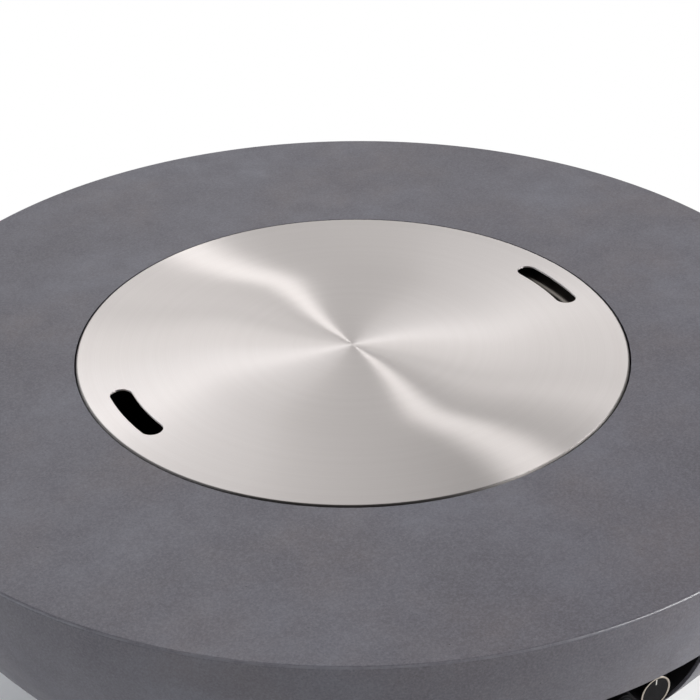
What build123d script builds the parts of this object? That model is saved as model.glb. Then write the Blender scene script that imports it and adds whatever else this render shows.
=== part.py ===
from build123d import *

import os
from math import asin, atan2, cos, degrees, radians, sin, tan

# Concrete bowl: a flat round top whose side curves under to a smaller base
TOP_DIAMETER = 1066.0
TABLE_HEIGHT = 430.0
BASE_DIAMETER = 580.0
SHOULDER_RADIUS = 330.0
SHOULDER_DEPTH = 180.0
BOWL_WALL = 18.0
TOP_THICKNESS = 24.0
FLOOR_THICKNESS = 24.0
ARRIS_RADIUS = 3.0
BASE_ROUND = 12.0
FLOOR_OPENING_DIAMETER = 360.0
COLLAR_WIDTH = 46.0
COLLAR_DEPTH = 46.0

# Rubber feet under the base ring
FOOT_COUNT = 6
FOOT_HEIGHT = 20.0
FOOT_DIAMETER = 50.0
FOOT_CHAMFER = 2.0
FOOT_RECESS_DEPTH = 10.0

# Lid and the rebate it lies in
LID_DIAMETER = 600.0
LID_GAP = 2.0
LID_PROUD = 1.0
LID_SHEET = 2.0
LID_EDGE_ROUND = 1.6
REBATE_DEPTH = 16.0
REBATE_LEDGE = 26.0
LIFT_SLOT_RADIUS = 262.0
LIFT_SLOT_WIDTH = 24.0
LIFT_SLOT_LENGTH = 98.0
LID_TURN = -2.0

# Burner pan and its gasket
GASKET_THICKNESS = 2.0
PAN_SHEET = 1.5
PAN_DEPTH = 88.0
PAN_RIM_GAP = 6.0
PAN_TAPER = 28.0
PAN_FLOOR_CORNER = 10.0
PAN_FLANGE_CORNER = 4.0
PAN_SCREW_COUNT = 4
PAN_SCREW_SETBACK = 10.4
DRAIN_COUNT = 8
DRAIN_DIAMETER = 8.0

# Burner: two ring tubes on a cross, fed from a hub with a spigot through the pan
OUTER_RING_RADIUS = 150.0
INNER_RING_RADIUS = 70.0
RING_TUBE_RADIUS = 9.0
SPOKE_TUBE_RADIUS = 7.0
BURNER_WALL = 1.5
BURNER_RISE = 24.0
HUB_RADIUS = 24.0
HUB_HEIGHT = 22.0
SPIGOT_RADIUS = 13.0
SPIGOT_DROP = 24.0
PORT_RADIUS = 1.5
OUTER_PORT_COUNT = 36
INNER_PORT_COUNT = 16
SPACER_WALL = 7.0
LOCKNUT_FLATS = 38.0
LOCKNUT_HEIGHT = 8.0

# Gas and air mixer below the burner
MIXER_RADIUS = 11.0
MIXER_WALL = 1.0
MIXER_ENTRY = 12.0
MIXER_LENGTH = 76.0
AIR_WINDOW_WIDTH = 12.0
AIR_WINDOW_HEIGHT = 10.0
AIR_WINDOW_RISE = 2.0
SHUTTER_WALL = 1.5
SHUTTER_HEIGHT = 24.0
HOLDER_FLATS = 26.0
HOLDER_HEIGHT = 14.0
HOLDER_PLUG = 8.0
INJECTOR_RADIUS = 4.0
INJECTOR_HEIGHT = 8.0
ORIFICE_RADIUS = 0.9

# Heat shield hung under the pan on studs
SHIELD_RADIUS = 150.0
SHIELD_SHEET = 1.0
SHIELD_GAP = 30.0
SHIELD_HOLE_GAP = 3.5
STUD_COUNT = 4
STUD_CIRCLE = 112.0
STUD_SHOULDER_RADIUS = 5.0
STUD_END = 12.0
STUD_NUT_FLATS = 10.0
STUD_NUT_HEIGHT = 5.0

# Electrode and thermocouple, side by side in a folded bracket beside the outer ring
IGNITION_SPACING = 28.0
IGNITION_GAP = 17.0
BRACKET_WIDTH = 74.0
BRACKET_LENGTH = 34.0
BRACKET_HEIGHT = 44.0
BRACKET_SHEET = 1.5
INSULATOR_RADIUS = 4.0
INSULATOR_LENGTH = 46.0
ELECTRODE_RADIUS = 1.0
ELECTRODE_TIP = 12.0
ELECTRODE_TAIL = 6.5
THERMOCOUPLE_RADIUS = 3.0
COLLAR_RING_RADIUS = 6.0
COLLAR_RING_HEIGHT = 3.0
PROBE_DROP = 26.0
PROBE_HEIGHT = 32.0

# Lava rocks: rings of rocks around the burner tubes, each trimmed by facets of uneven depth
ROCK_FACETS = 13
FACET_TURN = 137.5
FACET_DEPTH = 0.72
FACET_UNEVENNESS = 0.1
FACET_WAVE = 3.1
SEED_WAVE = 5.7
RING_ROCK_STEP = 27.0
ROCK_FLOOR_GAP = 0.2

# Control recess in the bowl's side, and the folded tray screwed into it
RECESS_DEPTH_BELOW_TOP = 97.0
RECESS_WIDTH = 124.0
RECESS_HEIGHT = 86.0
RECESS_CORNER = 6.0
PANEL_SETBACK = 63.0
FRAME_MARGIN = 26.0
FRAME_DEPTH = 18.0
TRAY_LEDGE = 14.0
TRAY_GAP = 1.0
TRAY_SHEET = 2.0
TRAY_INSET = 3.0
TRAY_SCREW_EDGE = 8.4

# Gas valve behind the tray, and the knob on its stem
KNOB_DEPTH_BELOW_TOP = 139.0
KNOB_OFFSET = 20.0
KNOB_RADIUS = 17.0
KNOB_STANDOFF = 5.5
KNOB_LENGTH = 21.5
KNOB_TRAVEL = 4.0
KNOB_CAVITY_RADIUS = 13.0
KNOB_CAVITY_DEPTH = 7.0
KNOB_RING_WALL = 2.2
KNOB_RING_HEIGHT = 2.5
KNOB_RING_PROUD = 0.6
POINTER_WIDTH = 1.4
POINTER_LENGTH = 6.0
POINTER_DEPTH = 0.6
POINTER_PROUD = 0.2
STEM_RADIUS = 4.0
STEM_COLLAR_RADIUS = 6.5
STEM_COLLAR_HEIGHT = 2.0
TONGUE_WIDTH = 7.0
TONGUE_THICKNESS = 3.0
TONGUE_LENGTH = 20.0
NOSE_RADIUS = 7.0
NOSE_LENGTH = 6.0
NOSE_NUT_FLATS = 19.0
NOSE_NUT_HEIGHT = 4.0
VALVE_RADIUS = 16.0
VALVE_FRONT_WALL = 6.0
SPRING_CHAMBER_RADIUS = 8.0
STEM_SPRING_LENGTH = 10.0
STEM_SPRING_TURNS = 4
SPRING_WIRE_RADIUS = 0.45
PLUG_RADIUS = 10.95
PLUG_LENGTH = 30.0
PLUG_PORT_RADIUS = 2.5
PLUG_PORT_SETBACK = 10.0
INLET_BOSS_RADIUS = 9.0
INLET_BOSS_LENGTH = 30.0
SENSOR_BOSS_RADIUS = 6.0
SENSOR_BOSS_LENGTH = 26.0
CAP_THREAD_LENGTH = 8.0
CAP_FLANGE_RADIUS = 14.0
CAP_FLANGE_HEIGHT = 4.0
NIPPLE_LENGTH = 12.0

# Push-button igniter beside the knob
IGNITER_OFFSET = 17.0
IGNITER_DROP = 3.0
IGNITER_BEZEL_RADIUS = 13.0
IGNITER_BEZEL_HEIGHT = 24.0
IGNITER_BEZEL_ROUND = 1.0
IGNITER_BODY_RADIUS = 9.0
IGNITER_BODY_LENGTH = 40.0
IGNITER_NUT_FLATS = 21.0
IGNITER_NUT_HEIGHT = 5.0
BUTTON_RADIUS = 10.0
BUTTON_ROUND = 2.0
BUTTON_LENGTH = 15.0
BUTTON_TRAVEL = 5.0
BUTTON_PUSHED_PROUD = 1.0
IGNITER_SPRING_LENGTH = 12.0
IGNITER_SPRING_TURNS = 5
TERMINAL_RADIUS = 2.5
TERMINAL_LENGTH = 10.0

# Gas pipes, fittings and leads
PIPE_RADIUS = 5.0
PIPE_WALL = 1.5
PIPE_BEND = 25.0
NIPPLE_RADIUS = 6.0
GAS_BORE_RADIUS = 3.0
PIPE_NUT_FLATS = 17.0
PIPE_NUT_GRIP = 8.0
INLET_DISTANCE = 120.0
INLET_THREAD_RADIUS = 7.9
INLET_THREAD_LENGTH = 18.0
INLET_HEX_FLATS = 24.0
INLET_HEX_HEIGHT = 8.0
INLET_STEM_LENGTH = 16.0
IGNITION_LEAD_RADIUS = 2.0
SENSOR_LEAD_RADIUS = 1.5
CLIP_SETBACK = 138.0
CLIP_THICKNESS = 3.0
CLIP_HEIGHT = 18.0
CLIP_EDGE = 6.0
BEND_SHARE = 0.45

# Steel plate that closes the opening in the bowl's floor
BASE_PLATE_SHEET = 2.0
BASE_PLATE_LAP = 20.0
BASE_SCREW_COUNT = 6
VENT_COUNT = 8
VENT_CIRCLE = 100.0
VENT_LENGTH = 60.0
VENT_WIDTH = 10.0

# Screws: thread radius and length under the head
TRAY_SCREW = (2.0, 12.0)
PAN_SCREW = (3.0, 20.0)
BASE_SCREW = (2.5, 14.0)
FOOT_SCREW = (3.0, 26.0)
BRACKET_SCREW = (2.0, 8.0)
HEAD_RATIO = 1.9
HEAD_HEIGHT_RATIO = 1.2
SOCKET_RATIO = 0.85
SCREW_END_GAP = 1.0

# Clearances: pieces that turn or slide in one another, and holes round fixed pieces
RUNNING_FIT = 0.05
HOLE_GAP = 0.3

# Levels and radii that follow from the sizes above
TOP_RADIUS = TOP_DIAMETER / 2
BASE_RADIUS = BASE_DIAMETER / 2
PANEL_REACH = TOP_RADIUS - PANEL_SETBACK
CLIP_DISTANCE = PANEL_REACH - CLIP_SETBACK
BOWL_BOTTOM = FOOT_HEIGHT
CAVITY_FLOOR = BOWL_BOTTOM + FLOOR_THICKNESS
CAVITY_CEILING = TABLE_HEIGHT - TOP_THICKNESS
FLOOR_OPENING_RADIUS = FLOOR_OPENING_DIAMETER / 2
SHOULDER_ANGLE = asin(SHOULDER_DEPTH / SHOULDER_RADIUS)
SHOULDER_END_RADIUS = TOP_RADIUS - SHOULDER_RADIUS * (1 - cos(SHOULDER_ANGLE))
SHOULDER_END_HEIGHT = TABLE_HEIGHT - SHOULDER_DEPTH
CHORD_ANGLE = atan2(SHOULDER_END_RADIUS - BASE_RADIUS, SHOULDER_END_HEIGHT - BOWL_BOTTOM)
FLANK_ANGLE = 2 * CHORD_ANGLE - SHOULDER_ANGLE

LID_RADIUS = LID_DIAMETER / 2
REBATE_RADIUS = LID_RADIUS + LID_GAP
REBATE_FLOOR = TABLE_HEIGHT - REBATE_DEPTH
OPENING_RADIUS = REBATE_RADIUS - REBATE_LEDGE
FLANGE_BOTTOM = REBATE_FLOOR + GASKET_THICKNESS
FLANGE_TOP = FLANGE_BOTTOM + PAN_SHEET
LID_TOP = TABLE_HEIGHT + LID_PROUD
PAN_SCREW_CIRCLE = OPENING_RADIUS + PAN_SCREW_SETBACK

PAN_RIM_RADIUS = OPENING_RADIUS - PAN_RIM_GAP
PAN_FLOOR_RADIUS = PAN_RIM_RADIUS - PAN_TAPER
PAN_BOTTOM = FLANGE_BOTTOM - PAN_DEPTH
PAN_FLOOR = PAN_BOTTOM + PAN_SHEET
BURNER_HEIGHT = PAN_FLOOR + BURNER_RISE
HUB_BOTTOM = BURNER_HEIGHT - HUB_HEIGHT / 2
HUB_TOP = BURNER_HEIGHT + HUB_HEIGHT / 2
SPIGOT_BOTTOM = PAN_BOTTOM - SPIGOT_DROP

MIXER_TOP = SPIGOT_BOTTOM + MIXER_ENTRY
MIXER_BOTTOM = MIXER_TOP - MIXER_LENGTH
HOLDER_BOTTOM = MIXER_BOTTOM - HOLDER_HEIGHT
HOLDER_PLUG_TOP = MIXER_BOTTOM + HOLDER_PLUG
AIR_WINDOW_LOW = HOLDER_PLUG_TOP + AIR_WINDOW_RISE
BURNER_INLET_HEIGHT = HOLDER_BOTTOM + HOLDER_HEIGHT / 2
BURNER_INLET_END = HOLDER_FLATS / 2 + NIPPLE_LENGTH

SHIELD_TOP = PAN_BOTTOM - SHIELD_GAP
SHIELD_BOTTOM = SHIELD_TOP - SHIELD_SHEET
PROBE_BOTTOM = PAN_BOTTOM - PROBE_DROP
INSULATOR_BOTTOM = PROBE_BOTTOM + ELECTRODE_TAIL
INSULATOR_TOP = INSULATOR_BOTTOM + INSULATOR_LENGTH
BRACKET_FLOOR = PAN_FLOOR + BRACKET_SHEET
IGNITION_CIRCLE = OUTER_RING_RADIUS + RING_TUBE_RADIUS + IGNITION_GAP
PROBE_SPOTS = [(-IGNITION_SPACING / 2, -IGNITION_CIRCLE), (IGNITION_SPACING / 2, -IGNITION_CIRCLE)]

RECESS_CENTRE = TABLE_HEIGHT - RECESS_DEPTH_BELOW_TOP - RECESS_HEIGHT / 2
KNOB_HEIGHT = TABLE_HEIGHT - KNOB_DEPTH_BELOW_TOP
IGNITER_HEIGHT = KNOB_HEIGHT - IGNITER_DROP
TRAY_WIDTH = RECESS_WIDTH - 2 * TRAY_GAP
TRAY_HEIGHT = RECESS_HEIGHT - 2 * TRAY_GAP
SCREW_X = RECESS_WIDTH / 2 - TRAY_SCREW_EDGE
SCREW_Y = RECESS_HEIGHT / 2 - TRAY_SCREW_EDGE
TRAY_SCREW_SPOTS = [(x, y) for x in (-SCREW_X, SCREW_X) for y in (-SCREW_Y, SCREW_Y)]

# Distances along the knob's axis, from the tray's face: plus is outwards
VALVE_FRONT = -TRAY_SHEET
CHAMBER_FRONT = VALVE_FRONT - VALVE_FRONT_WALL
PLUG_FRONT = CHAMBER_FRONT - STEM_COLLAR_HEIGHT - STEM_SPRING_LENGTH
PLUG_BACK = PLUG_FRONT - PLUG_LENGTH
PLUG_PORT = PLUG_BACK + PLUG_PORT_SETBACK
VALVE_BACK = PLUG_BACK - CAP_THREAD_LENGTH
CAP_BACK = VALVE_BACK - CAP_FLANGE_HEIGHT
OUTLET_END = CAP_BACK - NIPPLE_LENGTH
TONGUE_BACK = CHAMBER_FRONT - STEM_COLLAR_HEIGHT - TONGUE_LENGTH
SENSOR_BOSS = (PLUG_FRONT + PLUG_PORT) / 2
KNOB_BACK = KNOB_STANDOFF
KNOB_FACE = KNOB_BACK + KNOB_LENGTH
KNOB_SHOULDER = KNOB_FACE + KNOB_RING_PROUD - KNOB_RING_HEIGHT
STEM_FRONT = KNOB_SHOULDER - KNOB_RING_HEIGHT
CHAMBER_RADIUS = PLUG_RADIUS + RUNNING_FIT
BUTTON_PROUD = IGNITER_BEZEL_HEIGHT + BUTTON_PUSHED_PROUD + BUTTON_TRAVEL
BUTTON_BACK = BUTTON_PROUD - BUTTON_LENGTH
IGNITER_BORE_END = BUTTON_BACK - IGNITER_SPRING_LENGTH
IGNITER_BORE_RADIUS = BUTTON_RADIUS + 2 * RUNNING_FIT
TERMINAL_END = -IGNITER_BODY_LENGTH - TERMINAL_LENGTH

# Planes that face out of the control recess, on the recess, the knob and the igniter
RECESS_PLANE = Plane((0, -PANEL_REACH, RECESS_CENTRE), x_dir=(1, 0, 0), z_dir=(0, -1, 0))
KNOB_PLANE = Plane((KNOB_OFFSET, -PANEL_REACH, KNOB_HEIGHT), x_dir=(1, 0, 0), z_dir=(0, -1, 0))
IGNITER_PLANE = Plane((-IGNITER_OFFSET, -PANEL_REACH, IGNITER_HEIGHT), x_dir=(1, 0, 0), z_dir=(0, -1, 0))

os.makedirs("parts", exist_ok=True)


def ring_spots(radius, count, first_angle=0.0):
    """Points spaced evenly on a circle."""
    angles = [radians(first_angle + 360 * step / count) for step in range(count)]
    return [(radius * cos(angle), radius * sin(angle)) for angle in angles]


def bars(plane, radius, start, stop, spots=((0, 0),), mode=Mode.ADD):
    """Round bars, one on each spot of a plane, between two distances along its normal."""
    with BuildSketch(plane.offset(start)) as section:
        with Locations(*spots):
            Circle(radius)
    extrude(section.sketch, amount=stop - start, mode=mode)


def hexes(plane, flats, start, stop, spots=((0, 0),), mode=Mode.ADD):
    """Hexagonal bars, one on each spot of a plane, between two distances along its normal."""
    with BuildSketch(plane.offset(start)) as section:
        with Locations(*spots):
            RegularPolygon(flats / 2, 6, major_radius=False)
    extrude(section.sketch, amount=stop - start, mode=mode)


def slab(plane, width, height, start, stop, mode=Mode.ADD, centre=(0, 0)):
    """Rectangular block on a plane, between two distances along its normal."""
    with BuildSketch(plane.offset(start)) as section:
        with Locations(centre):
            Rectangle(width, height)
    extrude(section.sketch, amount=stop - start, mode=mode)


def socket_screws(plane, spots, size):
    """Round-headed screws seated on a plane, with hexagonal sockets and shanks running back from it."""
    thread, length = size
    head_height = thread * HEAD_HEIGHT_RATIO
    bars(plane, thread * HEAD_RATIO, 0, head_height, spots)
    bars(plane, thread, -length, 0, spots)
    hexes(plane, 2 * thread * SOCKET_RATIO, head_height / 2, head_height, spots, Mode.SUBTRACT)


def screw_holes(plane, spots, size, gap):
    """Blind holes for screws seated on a plane."""
    thread, length = size
    bars(plane, thread + gap, -length - SCREW_END_GAP, 0, spots, Mode.SUBTRACT)


def bowl_side(inset):
    """Shoulder and flank lines of the bowl's side, a given depth inside its outer face."""
    rim = (TOP_RADIUS - inset, TABLE_HEIGHT)
    foot = (BASE_RADIUS - inset * cos(FLANK_ANGLE), BOWL_BOTTOM + inset * sin(FLANK_ANGLE))
    shoulder = JernArc(rim, (0, -1), SHOULDER_RADIUS - inset, -degrees(SHOULDER_ANGLE))
    TangentArc(shoulder @ 1, foot, tangent=shoulder % 1)
    return rim, foot


def bowl_section(inset, low, high):
    """Half section of the bowl's bulk, a given depth inside its outer face, between two levels."""
    with BuildSketch(Plane.XZ) as section:
        with BuildLine():
            rim, foot = bowl_side(inset)
            Polyline(foot, (0, foot[1]), (0, TABLE_HEIGHT), rim)
        make_face()
        with Locations((0, low)):
            Rectangle(TOP_RADIUS, high - low, align=(Align.MIN, Align.MIN), mode=Mode.INTERSECT)
    return section.sketch


def coil(plane, radius, length, turns, wire):
    """Open coil spring standing on a plane, ground to its length at both ends by half a wire."""
    height = length - 2 * wire
    base = plane.offset(wire)
    helix = Edge.make_helix(height / turns, height, radius, base.origin, base.z_dir)
    with BuildSketch(Plane(helix @ 0, z_dir=helix % 0)) as section:
        Circle(wire)
    sweep(section.sketch, path=helix)


def bend_radii(points):
    """Largest arc at each turn of a route whose tangents take their share of the shorter run beside it."""
    corners = [Vector(point) for point in points]
    radii = []
    for before, corner, after in zip(corners, corners[1:], corners[2:]):
        turn = radians((corner - before).get_angle(after - corner))
        run = min((corner - before).length, (after - corner).length)
        radii.append(BEND_SHARE * run / tan(turn / 2))
    return radii


# Foot positions and the middle of the base ring that they stand under
FOOT_CIRCLE = (FLOOR_OPENING_RADIUS + BASE_RADIUS - BASE_ROUND) / 2
FOOT_SPOTS = ring_spots(FOOT_CIRCLE, FOOT_COUNT, 30)
PAN_SCREW_SPOTS = ring_spots(PAN_SCREW_CIRCLE, PAN_SCREW_COUNT, 45)
BASE_SCREW_SPOTS = ring_spots(FLOOR_OPENING_RADIUS + BASE_PLATE_LAP / 2, BASE_SCREW_COUNT)

# Thickened frame cast behind the control recess
with BuildPart() as control_frame:
    slab(
        RECESS_PLANE,
        RECESS_WIDTH + 2 * FRAME_MARGIN,
        RECESS_HEIGHT + 2 * FRAME_MARGIN,
        -FRAME_DEPTH,
        TOP_RADIUS - PANEL_REACH,
    )
    revolve(bowl_section(BOWL_WALL / 2, BOWL_BOTTOM, TABLE_HEIGHT), axis=Axis.Z, mode=Mode.INTERSECT)

# Concrete bowl: hollow casting with a collar round the lid opening
with BuildPart() as bowl:
    revolve(bowl_section(0, BOWL_BOTTOM, TABLE_HEIGHT), axis=Axis.Z)
    fillet(bowl.edges().sort_by(Axis.Z)[-1], ARRIS_RADIUS)
    fillet(bowl.edges().sort_by(Axis.Z)[0], BASE_ROUND)
    revolve(bowl_section(BOWL_WALL, CAVITY_FLOOR, CAVITY_CEILING), axis=Axis.Z, mode=Mode.SUBTRACT)
    bars(Plane.XY, OPENING_RADIUS + COLLAR_WIDTH, TABLE_HEIGHT - COLLAR_DEPTH, CAVITY_CEILING)
    bars(Plane.XY, OPENING_RADIUS, TABLE_HEIGHT - COLLAR_DEPTH, TABLE_HEIGHT, mode=Mode.SUBTRACT)
    bars(Plane.XY, REBATE_RADIUS, REBATE_FLOOR, TABLE_HEIGHT, mode=Mode.SUBTRACT)
    bars(Plane.XY, FLOOR_OPENING_RADIUS, BOWL_BOTTOM, CAVITY_FLOOR, mode=Mode.SUBTRACT)
    add(control_frame.part)
    with BuildSketch(RECESS_PLANE.offset(-TRAY_SHEET)):
        RectangleRounded(RECESS_WIDTH, RECESS_HEIGHT, RECESS_CORNER)
    extrude(amount=TOP_RADIUS, mode=Mode.SUBTRACT)
    slab(
        RECESS_PLANE,
        RECESS_WIDTH - 2 * TRAY_LEDGE,
        RECESS_HEIGHT - 2 * TRAY_LEDGE,
        -FRAME_DEPTH,
        0,
        Mode.SUBTRACT,
    )
    screw_holes(RECESS_PLANE, TRAY_SCREW_SPOTS, TRAY_SCREW, RUNNING_FIT)
    screw_holes(Plane.XY.offset(FLANGE_TOP), PAN_SCREW_SPOTS, PAN_SCREW, RUNNING_FIT)
    screw_holes(Plane.XY.offset(CAVITY_FLOOR + BASE_PLATE_SHEET), BASE_SCREW_SPOTS, BASE_SCREW, RUNNING_FIT)
    foot_screw_top = FOOT_RECESS_DEPTH + FOOT_SCREW[1] + SCREW_END_GAP
    bars(Plane.XY, FOOT_SCREW[0] + RUNNING_FIT, BOWL_BOTTOM, foot_screw_top, FOOT_SPOTS, Mode.SUBTRACT)
bowl.part.label = "bowl"
export_step(bowl.part, "parts/bowl.step")

# Feet: round rubber pads with a recess for the screw head
for number, (x, y) in enumerate(FOOT_SPOTS, start=1):
    with BuildPart() as foot:
        bars(Plane((x, y, 0)), FOOT_DIAMETER / 2, 0, FOOT_HEIGHT)
        chamfer(foot.edges().sort_by(Axis.Z)[0], FOOT_CHAMFER)
        head_recess = FOOT_SCREW[0] * HEAD_RATIO + HOLE_GAP
        bars(Plane((x, y, 0)), head_recess, 0, FOOT_RECESS_DEPTH, mode=Mode.SUBTRACT)
        bars(Plane((x, y, 0)), FOOT_SCREW[0] + RUNNING_FIT, 0, FOOT_HEIGHT, mode=Mode.SUBTRACT)
    foot.part.label = f"foot_{number}"
    export_step(foot.part, f"parts/foot_{number}.step")

# Foot screws, driven up from below
with BuildPart() as foot_screws:
    head_bottom = FOOT_RECESS_DEPTH - FOOT_SCREW[0] * HEAD_HEIGHT_RATIO
    bars(Plane.XY, FOOT_SCREW[0] * HEAD_RATIO, head_bottom, FOOT_RECESS_DEPTH, FOOT_SPOTS)
    bars(Plane.XY, FOOT_SCREW[0], FOOT_RECESS_DEPTH, FOOT_RECESS_DEPTH + FOOT_SCREW[1], FOOT_SPOTS)
    socket_top = (head_bottom + FOOT_RECESS_DEPTH) / 2
    hexes(Plane.XY, 2 * FOOT_SCREW[0] * SOCKET_RATIO, head_bottom, socket_top, FOOT_SPOTS, Mode.SUBTRACT)
foot_screws.part.label = "foot_screws"
export_step(foot_screws.part, "parts/foot_screws.step")

# Base plate: vented sheet on the bowl's floor, with the hole for the gas inlet
with BuildPart() as base_plate:
    plate_radius = FLOOR_OPENING_RADIUS + BASE_PLATE_LAP
    plate_top = CAVITY_FLOOR + BASE_PLATE_SHEET
    bars(Plane.XY, plate_radius, CAVITY_FLOOR, plate_top)
    with BuildSketch(Plane.XY.offset(CAVITY_FLOOR)):
        with PolarLocations(VENT_CIRCLE, VENT_COUNT, start_angle=180 / VENT_COUNT):
            SlotOverall(VENT_LENGTH, VENT_WIDTH)
    extrude(amount=BASE_PLATE_SHEET, mode=Mode.SUBTRACT)
    inlet_hole = INLET_THREAD_RADIUS + HOLE_GAP
    bars(Plane.XY, inlet_hole, CAVITY_FLOOR, plate_top, [(0, -INLET_DISTANCE)], Mode.SUBTRACT)
    bars(Plane.XY, BASE_SCREW[0] + HOLE_GAP, CAVITY_FLOOR, plate_top, BASE_SCREW_SPOTS, Mode.SUBTRACT)
base_plate.part.label = "base_plate"
export_step(base_plate.part, "parts/base_plate.step")

# Base plate screws
with BuildPart() as base_screws:
    socket_screws(Plane.XY.offset(plate_top), BASE_SCREW_SPOTS, BASE_SCREW)
base_screws.part.label = "base_screws"
export_step(base_screws.part, "parts/base_screws.step")

# Gas inlet: bulkhead union through the base plate, its hose thread pointing down
INLET_PLANE = Plane((0, -INLET_DISTANCE, CAVITY_FLOOR))
INLET_STEM_TOP = BASE_PLATE_SHEET + INLET_STEM_LENGTH
INLET_TOP = INLET_STEM_TOP + NIPPLE_LENGTH
INLET_BOTTOM = -INLET_HEX_HEIGHT - INLET_THREAD_LENGTH
with BuildPart() as inlet_fitting:
    bars(INLET_PLANE, INLET_THREAD_RADIUS, INLET_BOTTOM, INLET_STEM_TOP)
    hexes(INLET_PLANE, INLET_HEX_FLATS, -INLET_HEX_HEIGHT, 0)
    bars(INLET_PLANE, NIPPLE_RADIUS, INLET_STEM_TOP, INLET_TOP)
    bars(INLET_PLANE, GAS_BORE_RADIUS, INLET_BOTTOM, INLET_TOP, mode=Mode.SUBTRACT)
inlet_fitting.part.label = "inlet_fitting"
export_step(inlet_fitting.part, "parts/inlet_fitting.step")

# Locknut that clamps the inlet to the plate
with BuildPart() as inlet_locknut:
    hexes(INLET_PLANE, INLET_HEX_FLATS, BASE_PLATE_SHEET, BASE_PLATE_SHEET + INLET_HEX_HEIGHT)
    bars(
        INLET_PLANE,
        INLET_THREAD_RADIUS + RUNNING_FIT,
        BASE_PLATE_SHEET,
        BASE_PLATE_SHEET + INLET_HEX_HEIGHT,
        mode=Mode.SUBTRACT,
    )
inlet_locknut.part.label = "inlet_locknut"
export_step(inlet_locknut.part, "parts/inlet_locknut.step")

# Ledge gasket between the concrete and the pan's flange
with BuildPart() as ledge_gasket:
    bars(Plane.XY, LID_RADIUS, REBATE_FLOOR, FLANGE_BOTTOM)
    bars(Plane.XY, OPENING_RADIUS, REBATE_FLOOR, FLANGE_BOTTOM, mode=Mode.SUBTRACT)
    gasket_hole = PAN_SCREW[0] + HOLE_GAP
    bars(Plane.XY, gasket_hole, REBATE_FLOOR, FLANGE_BOTTOM, PAN_SCREW_SPOTS, Mode.SUBTRACT)
ledge_gasket.part.label = "ledge_gasket"
export_step(ledge_gasket.part, "parts/ledge_gasket.step")

# Burner pan: spun dish hung by its flange
STUD_SPOTS = ring_spots(STUD_CIRCLE, STUD_COUNT, 45)
BRACKET_CENTRE = (0, -IGNITION_CIRCLE - BRACKET_LENGTH / 2 + 2 * COLLAR_RING_RADIUS)
BRACKET_SCREW_X = BRACKET_WIDTH / 2 - BRACKET_SHEET - 2 * BRACKET_SCREW[0] * HEAD_RATIO + BRACKET_SCREW[0]
BRACKET_SCREW_SPOTS = [(x, BRACKET_CENTRE[1]) for x in (-BRACKET_SCREW_X, BRACKET_SCREW_X)]
with BuildPart() as burner_pan:
    with BuildSketch(Plane.XZ):
        with BuildLine():
            FilletPolyline(
                (0, PAN_BOTTOM),
                (PAN_FLOOR_RADIUS, PAN_BOTTOM),
                (PAN_RIM_RADIUS, FLANGE_BOTTOM),
                (LID_RADIUS, FLANGE_BOTTOM),
                radius=(PAN_FLOOR_CORNER, PAN_FLANGE_CORNER),
            )
            offset(amount=PAN_SHEET, side=Side.LEFT)
        make_face()
    revolve(axis=Axis.Z)
    bars(Plane.XY, SPIGOT_RADIUS + HOLE_GAP, PAN_BOTTOM, PAN_FLOOR, mode=Mode.SUBTRACT)
    drain_circle = PAN_FLOOR_RADIUS - PAN_FLOOR_CORNER - DRAIN_DIAMETER
    drain_spots = ring_spots(drain_circle, DRAIN_COUNT, 180 / DRAIN_COUNT)
    bars(Plane.XY, DRAIN_DIAMETER / 2, PAN_BOTTOM, PAN_FLOOR, drain_spots, Mode.SUBTRACT)
    bars(Plane.XY, INSULATOR_RADIUS + HOLE_GAP, PAN_BOTTOM, PAN_FLOOR, PROBE_SPOTS, Mode.SUBTRACT)
    bars(Plane.XY, BRACKET_SCREW[0] + RUNNING_FIT, PAN_BOTTOM, PAN_FLOOR, BRACKET_SCREW_SPOTS, Mode.SUBTRACT)
    bars(Plane.XY, PAN_SCREW[0] + HOLE_GAP, FLANGE_BOTTOM, FLANGE_TOP, PAN_SCREW_SPOTS, Mode.SUBTRACT)
burner_pan.part.label = "burner_pan"
export_step(burner_pan.part, "parts/burner_pan.step")

# Pan screws through the flange into the ledge
with BuildPart() as pan_screws:
    socket_screws(Plane.XY.offset(FLANGE_TOP), PAN_SCREW_SPOTS, PAN_SCREW)
pan_screws.part.label = "pan_screws"
export_step(pan_screws.part, "parts/pan_screws.step")

# Burner: hollow rings and cross tubes welded to a hub, with flame ports along the top
def burner_tubes(shrink):
    """Rings of eight-sided tube, round cross tubes and hub, all made thinner by a wall."""
    with BuildPart() as tubes:
        for ring_radius in (OUTER_RING_RADIUS, INNER_RING_RADIUS):
            with BuildSketch(Plane.XZ) as tube:
                with Locations((ring_radius, BURNER_HEIGHT)):
                    RegularPolygon(RING_TUBE_RADIUS - shrink, 8, major_radius=False, rotation=22.5)
            revolve(tube.sketch, axis=Axis.Z)
        for plane in (Plane.XZ, Plane.YZ):
            spoke_radius = SPOKE_TUBE_RADIUS - shrink
            bars(plane, spoke_radius, -OUTER_RING_RADIUS, OUTER_RING_RADIUS, [(0, BURNER_HEIGHT)])
        bars(Plane.XY, HUB_RADIUS - shrink, HUB_BOTTOM + shrink, HUB_TOP - shrink)
    return tubes.part


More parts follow.
